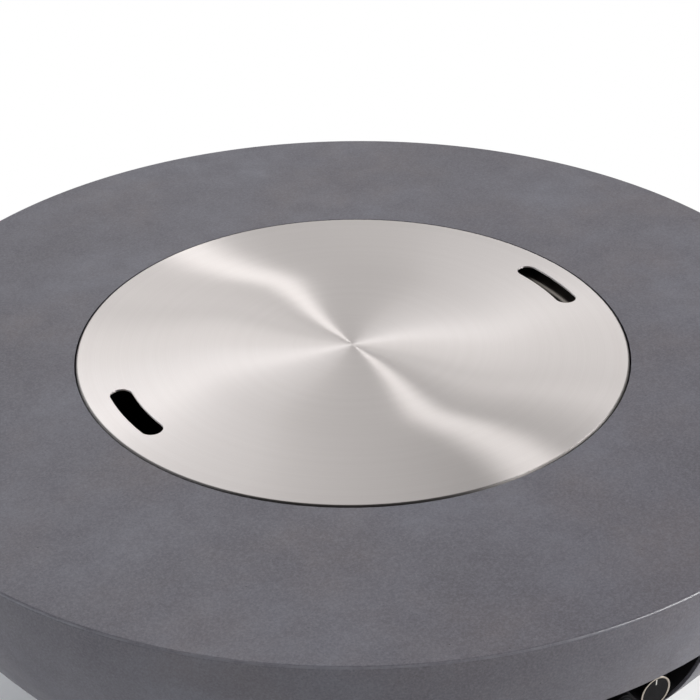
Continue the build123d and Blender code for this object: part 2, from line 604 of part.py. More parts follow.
burner_outside = burner_tubes(0)
burner_inside = burner_tubes(BURNER_WALL)
with BuildPart() as burner:
    add(burner_outside)
    bars(Plane.XY, SPIGOT_RADIUS, SPIGOT_BOTTOM, HUB_BOTTOM)
    add(burner_inside, mode=Mode.SUBTRACT)
    bars(Plane.XY, MIXER_RADIUS + RUNNING_FIT, SPIGOT_BOTTOM, BURNER_HEIGHT, mode=Mode.SUBTRACT)
    port_top = BURNER_HEIGHT + RING_TUBE_RADIUS
    outer_ports = ring_spots(OUTER_RING_RADIUS, OUTER_PORT_COUNT, 180 / OUTER_PORT_COUNT)
    inner_ports = ring_spots(INNER_RING_RADIUS, INNER_PORT_COUNT, 180 / INNER_PORT_COUNT)
    bars(Plane.XY, PORT_RADIUS, BURNER_HEIGHT, port_top, outer_ports + inner_ports, Mode.SUBTRACT)
burner.part.label = "burner"
export_step(burner.part, "parts/burner.step")

# Spacer that holds the burner off the pan's floor
with BuildPart() as burner_spacer:
    spacer_bore = SPIGOT_RADIUS + HOLE_GAP
    bars(Plane.XY, spacer_bore + SPACER_WALL, PAN_FLOOR, HUB_BOTTOM)
    bars(Plane.XY, spacer_bore, PAN_FLOOR, HUB_BOTTOM, mode=Mode.SUBTRACT)
burner_spacer.part.label = "burner_spacer"
export_step(burner_spacer.part, "parts/burner_spacer.step")

# Locknut on the spigot under the pan
with BuildPart() as burner_locknut:
    hexes(Plane.XY, LOCKNUT_FLATS, PAN_BOTTOM - LOCKNUT_HEIGHT, PAN_BOTTOM)
    bars(Plane.XY, SPIGOT_RADIUS + RUNNING_FIT, PAN_BOTTOM - LOCKNUT_HEIGHT, PAN_BOTTOM, mode=Mode.SUBTRACT)
burner_locknut.part.label = "burner_locknut"
export_step(burner_locknut.part, "parts/burner_locknut.step")

# Mixer tube: gas and air meet here, air entering through two windows near the bottom
with BuildPart() as mixer_tube:
    bars(Plane.XY, MIXER_RADIUS, MIXER_BOTTOM, MIXER_TOP)
    bars(Plane.XY, MIXER_RADIUS - MIXER_WALL, MIXER_BOTTOM, MIXER_TOP, mode=Mode.SUBTRACT)
    window_plane = Plane.XY.offset(AIR_WINDOW_LOW)
    slab(window_plane, 3 * MIXER_RADIUS, AIR_WINDOW_WIDTH, 0, AIR_WINDOW_HEIGHT, Mode.SUBTRACT)
mixer_tube.part.label = "mixer_tube"
export_step(mixer_tube.part, "parts/mixer_tube.step")

# Air shutter: sleeve turned on the mixer tube to set the air windows
with BuildPart() as air_shutter:
    shutter_bore = MIXER_RADIUS + RUNNING_FIT
    bars(Plane.XY, shutter_bore + SHUTTER_WALL, MIXER_BOTTOM, MIXER_BOTTOM + SHUTTER_HEIGHT)
    bars(Plane.XY, shutter_bore, MIXER_BOTTOM, MIXER_BOTTOM + SHUTTER_HEIGHT, mode=Mode.SUBTRACT)
    slab(window_plane, 3 * shutter_bore, AIR_WINDOW_WIDTH, 0, AIR_WINDOW_HEIGHT, Mode.SUBTRACT)
air_shutter.part.label = "air_shutter"
export_step(air_shutter.part, "parts/air_shutter.step")

# Injector holder: brass hexagon under the mixer tube, with the pipe nipple towards the valve
NIPPLE_PLANE = Plane((0, 0, BURNER_INLET_HEIGHT), x_dir=(1, 0, 0), z_dir=(0, -1, 0))
with BuildPart() as injector_holder:
    hexes(Plane.XY, HOLDER_FLATS, HOLDER_BOTTOM, MIXER_BOTTOM)
    bars(Plane.XY, MIXER_RADIUS - MIXER_WALL - RUNNING_FIT, MIXER_BOTTOM, HOLDER_PLUG_TOP)
    bars(NIPPLE_PLANE, NIPPLE_RADIUS, 0, BURNER_INLET_END)
    bars(NIPPLE_PLANE, GAS_BORE_RADIUS, 0, BURNER_INLET_END, mode=Mode.SUBTRACT)
    bars(Plane.XY, GAS_BORE_RADIUS, BURNER_INLET_HEIGHT, HOLDER_PLUG_TOP, mode=Mode.SUBTRACT)
injector_holder.part.label = "injector_holder"
export_step(injector_holder.part, "parts/injector_holder.step")

# Injector: brass jet on top of the holder, inside the mixer tube
with BuildPart() as injector:
    bars(Plane.XY, INJECTOR_RADIUS, HOLDER_PLUG_TOP, HOLDER_PLUG_TOP + INJECTOR_HEIGHT)
    fillet(injector.edges().sort_by(Axis.Z)[-1], INJECTOR_RADIUS / 2)
    bars(Plane.XY, ORIFICE_RADIUS, HOLDER_PLUG_TOP, HOLDER_PLUG_TOP + INJECTOR_HEIGHT, mode=Mode.SUBTRACT)
injector.part.label = "injector"
export_step(injector.part, "parts/injector.step")

# Heat shield below the pan
with BuildPart() as heat_shield:
    bars(Plane.XY, SHIELD_RADIUS, SHIELD_BOTTOM, SHIELD_TOP)
    bars(Plane.XY, MIXER_RADIUS + SHIELD_HOLE_GAP, SHIELD_BOTTOM, SHIELD_TOP, mode=Mode.SUBTRACT)
    stud_hole = STUD_SHOULDER_RADIUS / 2 + HOLE_GAP
    bars(Plane.XY, stud_hole, SHIELD_BOTTOM, SHIELD_TOP, STUD_SPOTS, Mode.SUBTRACT)
heat_shield.part.label = "heat_shield"
export_step(heat_shield.part, "parts/heat_shield.step")

# Shouldered studs welded to the pan that carry the shield
with BuildPart() as shield_studs:
    bars(Plane.XY, STUD_SHOULDER_RADIUS, SHIELD_TOP, PAN_BOTTOM, STUD_SPOTS)
    bars(Plane.XY, STUD_SHOULDER_RADIUS / 2, SHIELD_BOTTOM - STUD_END, SHIELD_TOP, STUD_SPOTS)
shield_studs.part.label = "shield_studs"
export_step(shield_studs.part, "parts/shield_studs.step")

# Nuts under the shield
with BuildPart() as shield_nuts:
    hexes(Plane.XY, STUD_NUT_FLATS, SHIELD_BOTTOM - STUD_NUT_HEIGHT, SHIELD_BOTTOM, STUD_SPOTS)
    nut_bore = STUD_SHOULDER_RADIUS / 2 + RUNNING_FIT
    bars(Plane.XY, nut_bore, SHIELD_BOTTOM - STUD_NUT_HEIGHT, SHIELD_BOTTOM, STUD_SPOTS, Mode.SUBTRACT)
shield_nuts.part.label = "shield_nuts"
export_step(shield_nuts.part, "parts/shield_nuts.step")

# Ignition bracket: folded sheet with walls at the back and sides that keep rocks off the tips
with BuildPart() as ignition_bracket:
    bracket_plane = Plane((BRACKET_CENTRE[0], BRACKET_CENTRE[1], PAN_FLOOR))
    slab(bracket_plane, BRACKET_WIDTH, BRACKET_LENGTH, 0, BRACKET_HEIGHT)
    slab(
        bracket_plane,
        BRACKET_WIDTH - 2 * BRACKET_SHEET,
        BRACKET_LENGTH,
        BRACKET_SHEET,
        BRACKET_HEIGHT,
        Mode.SUBTRACT,
        (0, BRACKET_SHEET),
    )
    bars(Plane.XY, INSULATOR_RADIUS + HOLE_GAP, PAN_FLOOR, BRACKET_FLOOR, PROBE_SPOTS[:1], Mode.SUBTRACT)
    bars(Plane.XY, THERMOCOUPLE_RADIUS + HOLE_GAP, PAN_FLOOR, BRACKET_FLOOR, PROBE_SPOTS[1:], Mode.SUBTRACT)
    bars(Plane.XY, BRACKET_SCREW[0] + HOLE_GAP, PAN_FLOOR, BRACKET_FLOOR, BRACKET_SCREW_SPOTS, Mode.SUBTRACT)
ignition_bracket.part.label = "ignition_bracket"
export_step(ignition_bracket.part, "parts/ignition_bracket.step")

# Bracket screws into the pan's floor
with BuildPart() as bracket_screws:
    socket_screws(Plane.XY.offset(BRACKET_FLOOR), BRACKET_SCREW_SPOTS, BRACKET_SCREW)
bracket_screws.part.label = "bracket_screws"
export_step(bracket_screws.part, "parts/bracket_screws.step")

# Ceramic insulator with its collar on the bracket
with BuildPart() as electrode_insulator:
    bars(Plane.XY, INSULATOR_RADIUS, INSULATOR_BOTTOM, INSULATOR_TOP, PROBE_SPOTS[:1])
    bars(Plane.XY, COLLAR_RING_RADIUS, BRACKET_FLOOR, BRACKET_FLOOR + COLLAR_RING_HEIGHT, PROBE_SPOTS[:1])
    rod_bore = ELECTRODE_RADIUS + RUNNING_FIT
    bars(Plane.XY, rod_bore, INSULATOR_BOTTOM, INSULATOR_TOP, PROBE_SPOTS[:1], Mode.SUBTRACT)
electrode_insulator.part.label = "electrode_insulator"
export_step(electrode_insulator.part, "parts/electrode_insulator.step")

# Electrode rod through the insulator, sparking to the ring
with BuildPart() as electrode_rod:
    bars(Plane.XY, ELECTRODE_RADIUS, PROBE_BOTTOM, INSULATOR_TOP + ELECTRODE_TIP, PROBE_SPOTS[:1])
electrode_rod.part.label = "electrode_rod"
export_step(electrode_rod.part, "parts/electrode_rod.step")

# Thermocouple: steel probe with its collar on the bracket and a round tip
with BuildPart() as thermocouple:
    bars(Plane.XY, THERMOCOUPLE_RADIUS, PROBE_BOTTOM, BRACKET_FLOOR + PROBE_HEIGHT, PROBE_SPOTS[1:])
    fillet(thermocouple.edges().sort_by(Axis.Z)[-1], THERMOCOUPLE_RADIUS / 2)
    bars(Plane.XY, COLLAR_RING_RADIUS, BRACKET_FLOOR, BRACKET_FLOOR + COLLAR_RING_HEIGHT, PROBE_SPOTS[1:])
thermocouple.part.label = "thermocouple"
export_step(thermocouple.part, "parts/thermocouple.step")


def rock(x, y, radius, seed):
    """Lava rock standing on the pan's floor: a block trimmed by planes that face all round it."""
    with BuildPart() as stone:
        Box(2 * radius, 2 * radius, 2 * radius)
        for facet in range(ROCK_FACETS):
            rise = 1 - (2 * facet + 1) / ROCK_FACETS
            spread = (1 - rise * rise) ** 0.5
            heading = radians(facet * FACET_TURN) + seed
            unevenness = FACET_UNEVENNESS * sin(FACET_WAVE * facet + SEED_WAVE * seed)
            depth = radius * (FACET_DEPTH + unevenness)
            normal = Vector(spread * cos(heading), spread * sin(heading), rise)
            split(bisect_by=Plane(normal * depth, z_dir=normal), keep=Keep.BOTTOM)
    low = stone.part.bounding_box().min.Z
    return Pos(x, y, PAN_FLOOR + ROCK_FLOOR_GAP - low) * stone.part


# Rings of rocks: between hub and inner ring, between the rings, and outside them up to the wall
HUB_ROCK = (INNER_RING_RADIUS - RING_TUBE_RADIUS - HUB_RADIUS) / 2
RING_ROCK_CIRCLE = (OUTER_RING_RADIUS + INNER_RING_RADIUS) / 2
RING_ROCK = RING_ROCK_CIRCLE * sin(radians(RING_ROCK_STEP / 2))
WALL_ROCK = (PAN_FLOOR_RADIUS - PAN_FLOOR_CORNER - OUTER_RING_RADIUS - RING_TUBE_RADIUS) / 2
HUB_ROCK_ANGLES = [45, 135, 225, 315]
RING_ROCK_ANGLES = [middle + RING_ROCK_STEP * side for middle in HUB_ROCK_ANGLES for side in (-1, 0, 1)]
WALL_ROCK_ANGLES = [22.5 * step for step in range(16) if step != 12]
ROCK_RINGS = [
    (HUB_RADIUS + HUB_ROCK, HUB_ROCK, HUB_ROCK_ANGLES),
    (RING_ROCK_CIRCLE, RING_ROCK, RING_ROCK_ANGLES),
    (OUTER_RING_RADIUS + RING_TUBE_RADIUS + WALL_ROCK, WALL_ROCK, WALL_ROCK_ANGLES),
]
rocks = []
for ring, (circle, radius, angles) in enumerate(ROCK_RINGS):
    for angle in angles:
        turn = radians(angle)
        rocks.append(rock(circle * cos(turn), circle * sin(turn), radius, angle + ring))
with BuildPart() as lava_rocks:
    add(rocks)
lava_rocks.part.label = "lava_rocks"
export_step(lava_rocks.part, "parts/lava_rocks.step")

# Lid: spun disc with a turned-down rim and two curved hand slots
with BuildPart() as lid:
    bars(Plane.XY, LID_RADIUS, FLANGE_TOP, LID_TOP)
    fillet(lid.edges().sort_by(Axis.Z)[-1], LID_EDGE_ROUND)
    bars(Plane.XY, LID_RADIUS - LID_SHEET, FLANGE_TOP, LID_TOP - LID_SHEET, mode=Mode.SUBTRACT)
    slot_sweep = degrees((LIFT_SLOT_LENGTH - LIFT_SLOT_WIDTH) / LIFT_SLOT_RADIUS)
    for side in (LID_TURN, LID_TURN + 180):
        with BuildLine(mode=Mode.PRIVATE) as slot_middle:
            CenterArc((0, 0), LIFT_SLOT_RADIUS, side - slot_sweep / 2, slot_sweep)
        with BuildSketch(Plane.XY.offset(LID_TOP - LID_SHEET)):
            SlotArc(slot_middle.edge(), LIFT_SLOT_WIDTH)
        extrude(amount=LID_SHEET, mode=Mode.SUBTRACT)
lid.part.label = "lid"
export_step(lid.part, "parts/lid.step")

# Control tray: folded pocket whose walls stop just short of the bowl's face
with BuildPart() as control_tray:
    with BuildSketch(RECESS_PLANE.offset(-TRAY_SHEET)):
        RectangleRounded(TRAY_WIDTH, TRAY_HEIGHT, RECESS_CORNER - TRAY_GAP)
    extrude(amount=TOP_RADIUS)
    with BuildSketch(RECESS_PLANE):
        inner_corner = RECESS_CORNER - TRAY_GAP - TRAY_SHEET
        RectangleRounded(TRAY_WIDTH - 2 * TRAY_SHEET, TRAY_HEIGHT - 2 * TRAY_SHEET, inner_corner)
    extrude(amount=TOP_RADIUS, mode=Mode.SUBTRACT)
    revolve(bowl_section(TRAY_INSET, BOWL_BOTTOM, TABLE_HEIGHT), axis=Axis.Z, mode=Mode.INTERSECT)
    bars(KNOB_PLANE, NOSE_RADIUS + HOLE_GAP, -TRAY_SHEET, 0, mode=Mode.SUBTRACT)
    bars(IGNITER_PLANE, IGNITER_BODY_RADIUS + HOLE_GAP, -TRAY_SHEET, 0, mode=Mode.SUBTRACT)
    bars(RECESS_PLANE, TRAY_SCREW[0] + HOLE_GAP, -TRAY_SHEET, 0, TRAY_SCREW_SPOTS, Mode.SUBTRACT)
control_tray.part.label = "control_tray"
export_step(control_tray.part, "parts/control_tray.step")

# Tray screws into the concrete ledge
with BuildPart() as tray_screws:
    socket_screws(RECESS_PLANE, TRAY_SCREW_SPOTS, TRAY_SCREW)
tray_screws.part.label = "tray_screws"
export_step(tray_screws.part, "parts/tray_screws.step")

# Valve body: barrel with a threaded nose through the tray, an inlet below and a sensor port at the side
INLET_BOSS_PLANE = Plane(KNOB_PLANE.offset(PLUG_PORT).origin, x_dir=(1, 0, 0), z_dir=(0, 0, -1))
SENSOR_BOSS_PLANE = Plane(KNOB_PLANE.offset(SENSOR_BOSS).origin, x_dir=(0, 1, 0), z_dir=(1, 0, 0))
with BuildPart() as valve_body:
    bars(KNOB_PLANE, VALVE_RADIUS, VALVE_BACK, VALVE_FRONT)
    bars(KNOB_PLANE, NOSE_RADIUS, VALVE_FRONT, NOSE_LENGTH)
    bars(INLET_BOSS_PLANE, INLET_BOSS_RADIUS, 0, INLET_BOSS_LENGTH - NIPPLE_LENGTH)
    bars(INLET_BOSS_PLANE, NIPPLE_RADIUS, 0, INLET_BOSS_LENGTH)
    bars(SENSOR_BOSS_PLANE, SENSOR_BOSS_RADIUS, 0, SENSOR_BOSS_LENGTH)
    bars(INLET_BOSS_PLANE, GAS_BORE_RADIUS, 0, INLET_BOSS_LENGTH, mode=Mode.SUBTRACT)
    bars(KNOB_PLANE, STEM_RADIUS + RUNNING_FIT, CHAMBER_FRONT, NOSE_LENGTH, mode=Mode.SUBTRACT)
    bars(KNOB_PLANE, SPRING_CHAMBER_RADIUS, PLUG_FRONT, CHAMBER_FRONT, mode=Mode.SUBTRACT)
    bars(KNOB_PLANE, CHAMBER_RADIUS, VALVE_BACK, PLUG_FRONT, mode=Mode.SUBTRACT)
valve_body.part.label = "valve_body"
export_step(valve_body.part, "parts/valve_body.step")

# Nut that clamps the valve's nose to the tray
with BuildPart() as valve_nut:
    hexes(KNOB_PLANE, NOSE_NUT_FLATS, 0, NOSE_NUT_HEIGHT)
    bars(KNOB_PLANE, NOSE_RADIUS + RUNNING_FIT, 0, NOSE_NUT_HEIGHT, mode=Mode.SUBTRACT)
valve_nut.part.label = "valve_nut"
export_step(valve_nut.part, "parts/valve_nut.step")

# Valve plug: its side port meets the inlet when the knob is turned on
TONGUE_SLOT_BACK = TONGUE_BACK - KNOB_TRAVEL - SCREW_END_GAP
PORT_PLANE = Plane(KNOB_PLANE.offset(PLUG_PORT).origin, x_dir=(0, 1, 0), z_dir=(-1, 0, 0))
with BuildPart() as valve_plug:
    bars(KNOB_PLANE, PLUG_RADIUS, PLUG_BACK, PLUG_FRONT)
    slab(
        KNOB_PLANE,
        TONGUE_THICKNESS + 2 * RUNNING_FIT,
        TONGUE_WIDTH + 2 * RUNNING_FIT,
        TONGUE_SLOT_BACK,
        PLUG_FRONT,
        Mode.SUBTRACT,
    )
    bars(PORT_PLANE, PLUG_PORT_RADIUS, 0, PLUG_RADIUS, mode=Mode.SUBTRACT)
    bars(KNOB_PLANE, PLUG_PORT_RADIUS, PLUG_BACK, PLUG_PORT, mode=Mode.SUBTRACT)
valve_plug.part.label = "valve_plug"
export_step(valve_plug.part, "parts/valve_plug.step")

# Valve cap: closes the plug chamber and carries the outlet nipple
with BuildPart() as valve_cap:
    bars(KNOB_PLANE, PLUG_RADIUS, VALVE_BACK, PLUG_BACK)
    bars(KNOB_PLANE, CAP_FLANGE_RADIUS, CAP_BACK, VALVE_BACK)
    bars(KNOB_PLANE, NIPPLE_RADIUS, OUTLET_END, CAP_BACK)
    bars(KNOB_PLANE, GAS_BORE_RADIUS, OUTLET_END, PLUG_BACK, mode=Mode.SUBTRACT)
valve_cap.part.label = "valve_cap"
export_step(valve_cap.part, "parts/valve_cap.step")

# Valve stem: carries the knob, and its tongue turns the plug
with BuildPart() as valve_stem:
    bars(KNOB_PLANE, STEM_RADIUS, CHAMBER_FRONT, STEM_FRONT)
    bars(KNOB_PLANE, STEM_COLLAR_RADIUS, CHAMBER_FRONT - STEM_COLLAR_HEIGHT, CHAMBER_FRONT)
    slab(KNOB_PLANE, TONGUE_THICKNESS, TONGUE_WIDTH, TONGUE_BACK, CHAMBER_FRONT - STEM_COLLAR_HEIGHT)
valve_stem.part.label = "valve_stem"
export_step(valve_stem.part, "parts/valve_stem.step")

# Return spring between the plug and the stem's collar
with BuildPart() as stem_spring:
    stem_spring_radius = STEM_COLLAR_RADIUS - 2 * SPRING_WIRE_RADIUS
    coil(
        KNOB_PLANE.offset(PLUG_FRONT),
        stem_spring_radius,
        STEM_SPRING_LENGTH,
        STEM_SPRING_TURNS,
        SPRING_WIRE_RADIUS,
    )
stem_spring.part.label = "stem_spring"
export_step(stem_spring.part, "parts/stem_spring.step")

# Control knob: pushed in and turned, hollow at the back to pass over the nut
RING_INNER_RADIUS = KNOB_RADIUS + KNOB_RING_PROUD - KNOB_RING_WALL
POINTER_MIDDLE = RING_INNER_RADIUS - POINTER_LENGTH / 2 - POINTER_WIDTH / 2
with BuildPart() as control_knob:
    bars(KNOB_PLANE, KNOB_RADIUS, KNOB_BACK, KNOB_SHOULDER)
    bars(KNOB_PLANE, RING_INNER_RADIUS - RUNNING_FIT, KNOB_SHOULDER, KNOB_FACE)
    bars(KNOB_PLANE, KNOB_CAVITY_RADIUS, KNOB_BACK, KNOB_BACK + KNOB_CAVITY_DEPTH, mode=Mode.SUBTRACT)
    bars(KNOB_PLANE, STEM_RADIUS + RUNNING_FIT, KNOB_BACK, STEM_FRONT, mode=Mode.SUBTRACT)
    slab(
        KNOB_PLANE,
        POINTER_WIDTH,
        POINTER_LENGTH,
        KNOB_FACE - POINTER_DEPTH,
        KNOB_FACE,
        Mode.SUBTRACT,
        (0, POINTER_MIDDLE),
    )
control_knob.part.label = "control_knob"
export_step(control_knob.part, "parts/control_knob.step")

# Bright trim ring round the knob's face
with BuildPart() as knob_ring:
    bars(KNOB_PLANE, KNOB_RADIUS + KNOB_RING_PROUD, KNOB_SHOULDER, KNOB_FACE + KNOB_RING_PROUD)
    bars(KNOB_PLANE, RING_INNER_RADIUS, KNOB_SHOULDER, KNOB_FACE + KNOB_RING_PROUD, mode=Mode.SUBTRACT)
    fillet(knob_ring.edges().group_by(Axis.Y)[0], KNOB_RING_PROUD)
knob_ring.part.label = "knob_ring"
export_step(knob_ring.part, "parts/knob_ring.step")

# Pale pointer let into the knob's face
with BuildPart() as knob_pointer:
    slab(
        KNOB_PLANE,
        POINTER_WIDTH,
        POINTER_LENGTH,
        KNOB_FACE - POINTER_DEPTH,
        KNOB_FACE + POINTER_PROUD,
        centre=(0, POINTER_MIDDLE),
    )
knob_pointer.part.label = "knob_pointer"
export_step(knob_pointer.part, "parts/knob_pointer.step")

# Igniter body: bezel in front of the tray, barrel and terminal behind it
with BuildPart() as igniter_body:
    bars(IGNITER_PLANE, IGNITER_BEZEL_RADIUS, 0, IGNITER_BEZEL_HEIGHT)
    fillet(igniter_body.edges().sort_by(Axis.Y)[0], IGNITER_BEZEL_ROUND)
    bars(IGNITER_PLANE, IGNITER_BODY_RADIUS, -IGNITER_BODY_LENGTH, 0)
    bars(IGNITER_PLANE, TERMINAL_RADIUS, TERMINAL_END, -IGNITER_BODY_LENGTH)
    bars(IGNITER_PLANE, IGNITER_BORE_RADIUS, IGNITER_BORE_END, IGNITER_BEZEL_HEIGHT, mode=Mode.SUBTRACT)
igniter_body.part.label = "igniter_body"
export_step(igniter_body.part, "parts/igniter_body.step")

# Nut that clamps the igniter from behind the tray
with BuildPart() as igniter_nut:
    hexes(IGNITER_PLANE, IGNITER_NUT_FLATS, -TRAY_SHEET - IGNITER_NUT_HEIGHT, -TRAY_SHEET)
    bars(
        IGNITER_PLANE,
        IGNITER_BODY_RADIUS + RUNNING_FIT,
        -TRAY_SHEET - IGNITER_NUT_HEIGHT,
        -TRAY_SHEET,
        mode=Mode.SUBTRACT,
    )
igniter_nut.part.label = "igniter_nut"
export_step(igniter_nut.part, "parts/igniter_nut.step")

# Igniter button, sliding in the bezel
with BuildPart() as igniter_button:
    bars(IGNITER_PLANE, BUTTON_RADIUS, BUTTON_BACK, BUTTON_PROUD)
    fillet(igniter_button.edges().sort_by(Axis.Y)[0], BUTTON_ROUND)
igniter_button.part.label = "igniter_button"
export_step(igniter_button.part, "parts/igniter_button.step")

# Spring behind the button
with BuildPart() as igniter_spring:
    igniter_spring_radius = BUTTON_RADIUS - 3 * SPRING_WIRE_RADIUS
    coil(
        IGNITER_PLANE.offset(IGNITER_BORE_END),
        igniter_spring_radius,
        IGNITER_SPRING_LENGTH,
        IGNITER_SPRING_TURNS,
        SPRING_WIRE_RADIUS,
    )
igniter_spring.part.label = "igniter_spring"
export_step(igniter_spring.part, "parts/igniter_spring.step")

# Burner pipe: bent tube from the valve's outlet to the injector holder
OUTLET_Y = -PANEL_REACH - OUTLET_END
BURNER_ROUTE = [
    (KNOB_OFFSET, OUTLET_Y, KNOB_HEIGHT),
    (KNOB_OFFSET, -CLIP_DISTANCE + 2 * PIPE_BEND, KNOB_HEIGHT),
    (0, -CLIP_DISTANCE + 5 * PIPE_BEND, BURNER_INLET_HEIGHT),
    (0, -BURNER_INLET_END, BURNER_INLET_HEIGHT),
]
with BuildPart() as burner_pipe:
    with BuildLine() as burner_line:
        FilletPolyline(*BURNER_ROUTE, radius=PIPE_BEND)
    with BuildSketch(Plane(BURNER_ROUTE[0], z_dir=(0, 1, 0))):
        Circle(PIPE_RADIUS)
        Circle(PIPE_RADIUS - PIPE_WALL, mode=Mode.SUBTRACT)
    sweep(path=burner_line.line)
burner_pipe.part.label = "burner_pipe"
export_step(burner_pipe.part, "parts/burner_pipe.step")

# Inlet pipe: bent tube from the bulkhead union up to the valve
INLET_PIPE_TOP = KNOB_HEIGHT - INLET_BOSS_LENGTH
VALVE_INLET_Y = -PANEL_REACH - PLUG_PORT
INLET_ROUTE = [
    (KNOB_OFFSET, VALVE_INLET_Y, INLET_PIPE_TOP),
    (KNOB_OFFSET, VALVE_INLET_Y, INLET_PIPE_TOP - 1.5 * PIPE_BEND),
    (0, -INLET_DISTANCE, CAVITY_FLOOR + INLET_TOP + 1.5 * PIPE_BEND),
    (0, -INLET_DISTANCE, CAVITY_FLOOR + INLET_TOP),
]
with BuildPart() as inlet_pipe:
    with BuildLine() as inlet_line:
        FilletPolyline(*INLET_ROUTE, radius=PIPE_BEND)
    with BuildSketch(Plane(INLET_ROUTE[0], z_dir=(0, 0, -1))):
        Circle(PIPE_RADIUS)
        Circle(PIPE_RADIUS - PIPE_WALL, mode=Mode.SUBTRACT)
    sweep(path=inlet_line.line)
inlet_pipe.part.label = "inlet_pipe"
export_step(inlet_pipe.part, "parts/inlet_pipe.step")

# Pipe nuts: one over each joint of a pipe's end and its nipple, facing from nipple to pipe
PIPE_NUT_PLANES = [
    Plane(BURNER_ROUTE[0], x_dir=(1, 0, 0), z_dir=(0, 1, 0)),
    Plane(BURNER_ROUTE[-1], x_dir=(1, 0, 0), z_dir=(0, -1, 0)),
    Plane(INLET_ROUTE[0], x_dir=(1, 0, 0), z_dir=(0, 0, -1)),
    Plane(INLET_ROUTE[-1], x_dir=(1, 0, 0), z_dir=(0, 0, 1)),
]
with BuildPart() as pipe_nuts:
    for nut_plane in PIPE_NUT_PLANES:
        hexes(nut_plane, PIPE_NUT_FLATS, -PIPE_NUT_GRIP, PIPE_NUT_GRIP)
        bars(nut_plane, NIPPLE_RADIUS + RUNNING_FIT, -PIPE_NUT_GRIP, 0, mode=Mode.SUBTRACT)
        bars(nut_plane, PIPE_RADIUS + RUNNING_FIT, 0, PIPE_NUT_GRIP, mode=Mode.SUBTRACT)
pipe_nuts.part.label = "pipe_nuts"
export_step(pipe_nuts.part, "parts/pipe_nuts.step")

# Ignition lead from the igniter's terminal, through the clip, to the electrode
LEAD_X = IGNITION_SPACING / 2
TERMINAL_Y = -PANEL_REACH - TERMINAL_END
IGNITION_ROUTE = [
    (-IGNITER_OFFSET, TERMINAL_Y, IGNITER_HEIGHT),
    (-IGNITER_OFFSET, TERMINAL_Y + 22, IGNITER_HEIGHT),
    (KNOB_OFFSET - LEAD_X - 8, -CLIP_DISTANCE - 36, KNOB_HEIGHT - 1),
    (KNOB_OFFSET - LEAD_X, -CLIP_DISTANCE - 14, KNOB_HEIGHT),
    (KNOB_OFFSET - LEAD_X, -CLIP_DISTANCE + 18, KNOB_HEIGHT),
    (-LEAD_X + 10, -CLIP_DISTANCE + 68, KNOB_HEIGHT - 20),
    (-LEAD_X + 2, -IGNITION_CIRCLE - 42, PROBE_BOTTOM - 38),
    (-LEAD_X, -IGNITION_CIRCLE - 14, PROBE_BOTTOM - 34),
    (-LEAD_X, -IGNITION_CIRCLE, PROBE_BOTTOM - 16),
    (-LEAD_X, -IGNITION_CIRCLE, PROBE_BOTTOM),
]
with BuildPart() as ignition_lead:
    with BuildLine() as ignition_line:
        FilletPolyline(*IGNITION_ROUTE, radius=bend_radii(IGNITION_ROUTE))
    with BuildSketch(Plane(IGNITION_ROUTE[0], z_dir=(0, 1, 0))):
        Circle(IGNITION_LEAD_RADIUS)
    sweep(path=ignition_line.line)
ignition_lead.part.label = "ignition_lead"
export_step(ignition_lead.part, "parts/ignition_lead.step")

# Thermocouple lead from the valve's sensor port, through the clip, to the probe
SENSOR_X = KNOB_OFFSET + SENSOR_BOSS_LENGTH
SENSOR_Y = -PANEL_REACH - SENSOR_BOSS
SENSOR_ROUTE = [
    (SENSOR_X, SENSOR_Y, KNOB_HEIGHT),
    (SENSOR_X + 16, SENSOR_Y, KNOB_HEIGHT),
    (SENSOR_X + 30, SENSOR_Y + 12, KNOB_HEIGHT),
    (SENSOR_X + 32, SENSOR_Y + 32, KNOB_HEIGHT),
    (SENSOR_X + 20, SENSOR_Y + 56, KNOB_HEIGHT),
    (KNOB_OFFSET + LEAD_X + 8, -CLIP_DISTANCE - 30, KNOB_HEIGHT),
    (KNOB_OFFSET + LEAD_X, -CLIP_DISTANCE - 14, KNOB_HEIGHT),
    (KNOB_OFFSET + LEAD_X, -CLIP_DISTANCE + 18, KNOB_HEIGHT),
    (KNOB_OFFSET + LEAD_X, -CLIP_DISTANCE + 70, KNOB_HEIGHT - 20),
    (LEAD_X + 6, -IGNITION_CIRCLE - 40, PROBE_BOTTOM - 38),
    (LEAD_X, -IGNITION_CIRCLE - 14, PROBE_BOTTOM - 34),
    (LEAD_X, -IGNITION_CIRCLE, PROBE_BOTTOM - 16),
    (LEAD_X, -IGNITION_CIRCLE, PROBE_BOTTOM),
]
with BuildPart() as sensor_lead:
    with BuildLine() as sensor_line:
        FilletPolyline(*SENSOR_ROUTE, radius=bend_radii(SENSOR_ROUTE))
    with BuildSketch(Plane(SENSOR_ROUTE[0], z_dir=(1, 0, 0))):
        Circle(SENSOR_LEAD_RADIUS)
    sweep(path=sensor_line.line)
sensor_lead.part.label = "sensor_lead"
export_step(sensor_lead.part, "parts/sensor_lead.step")

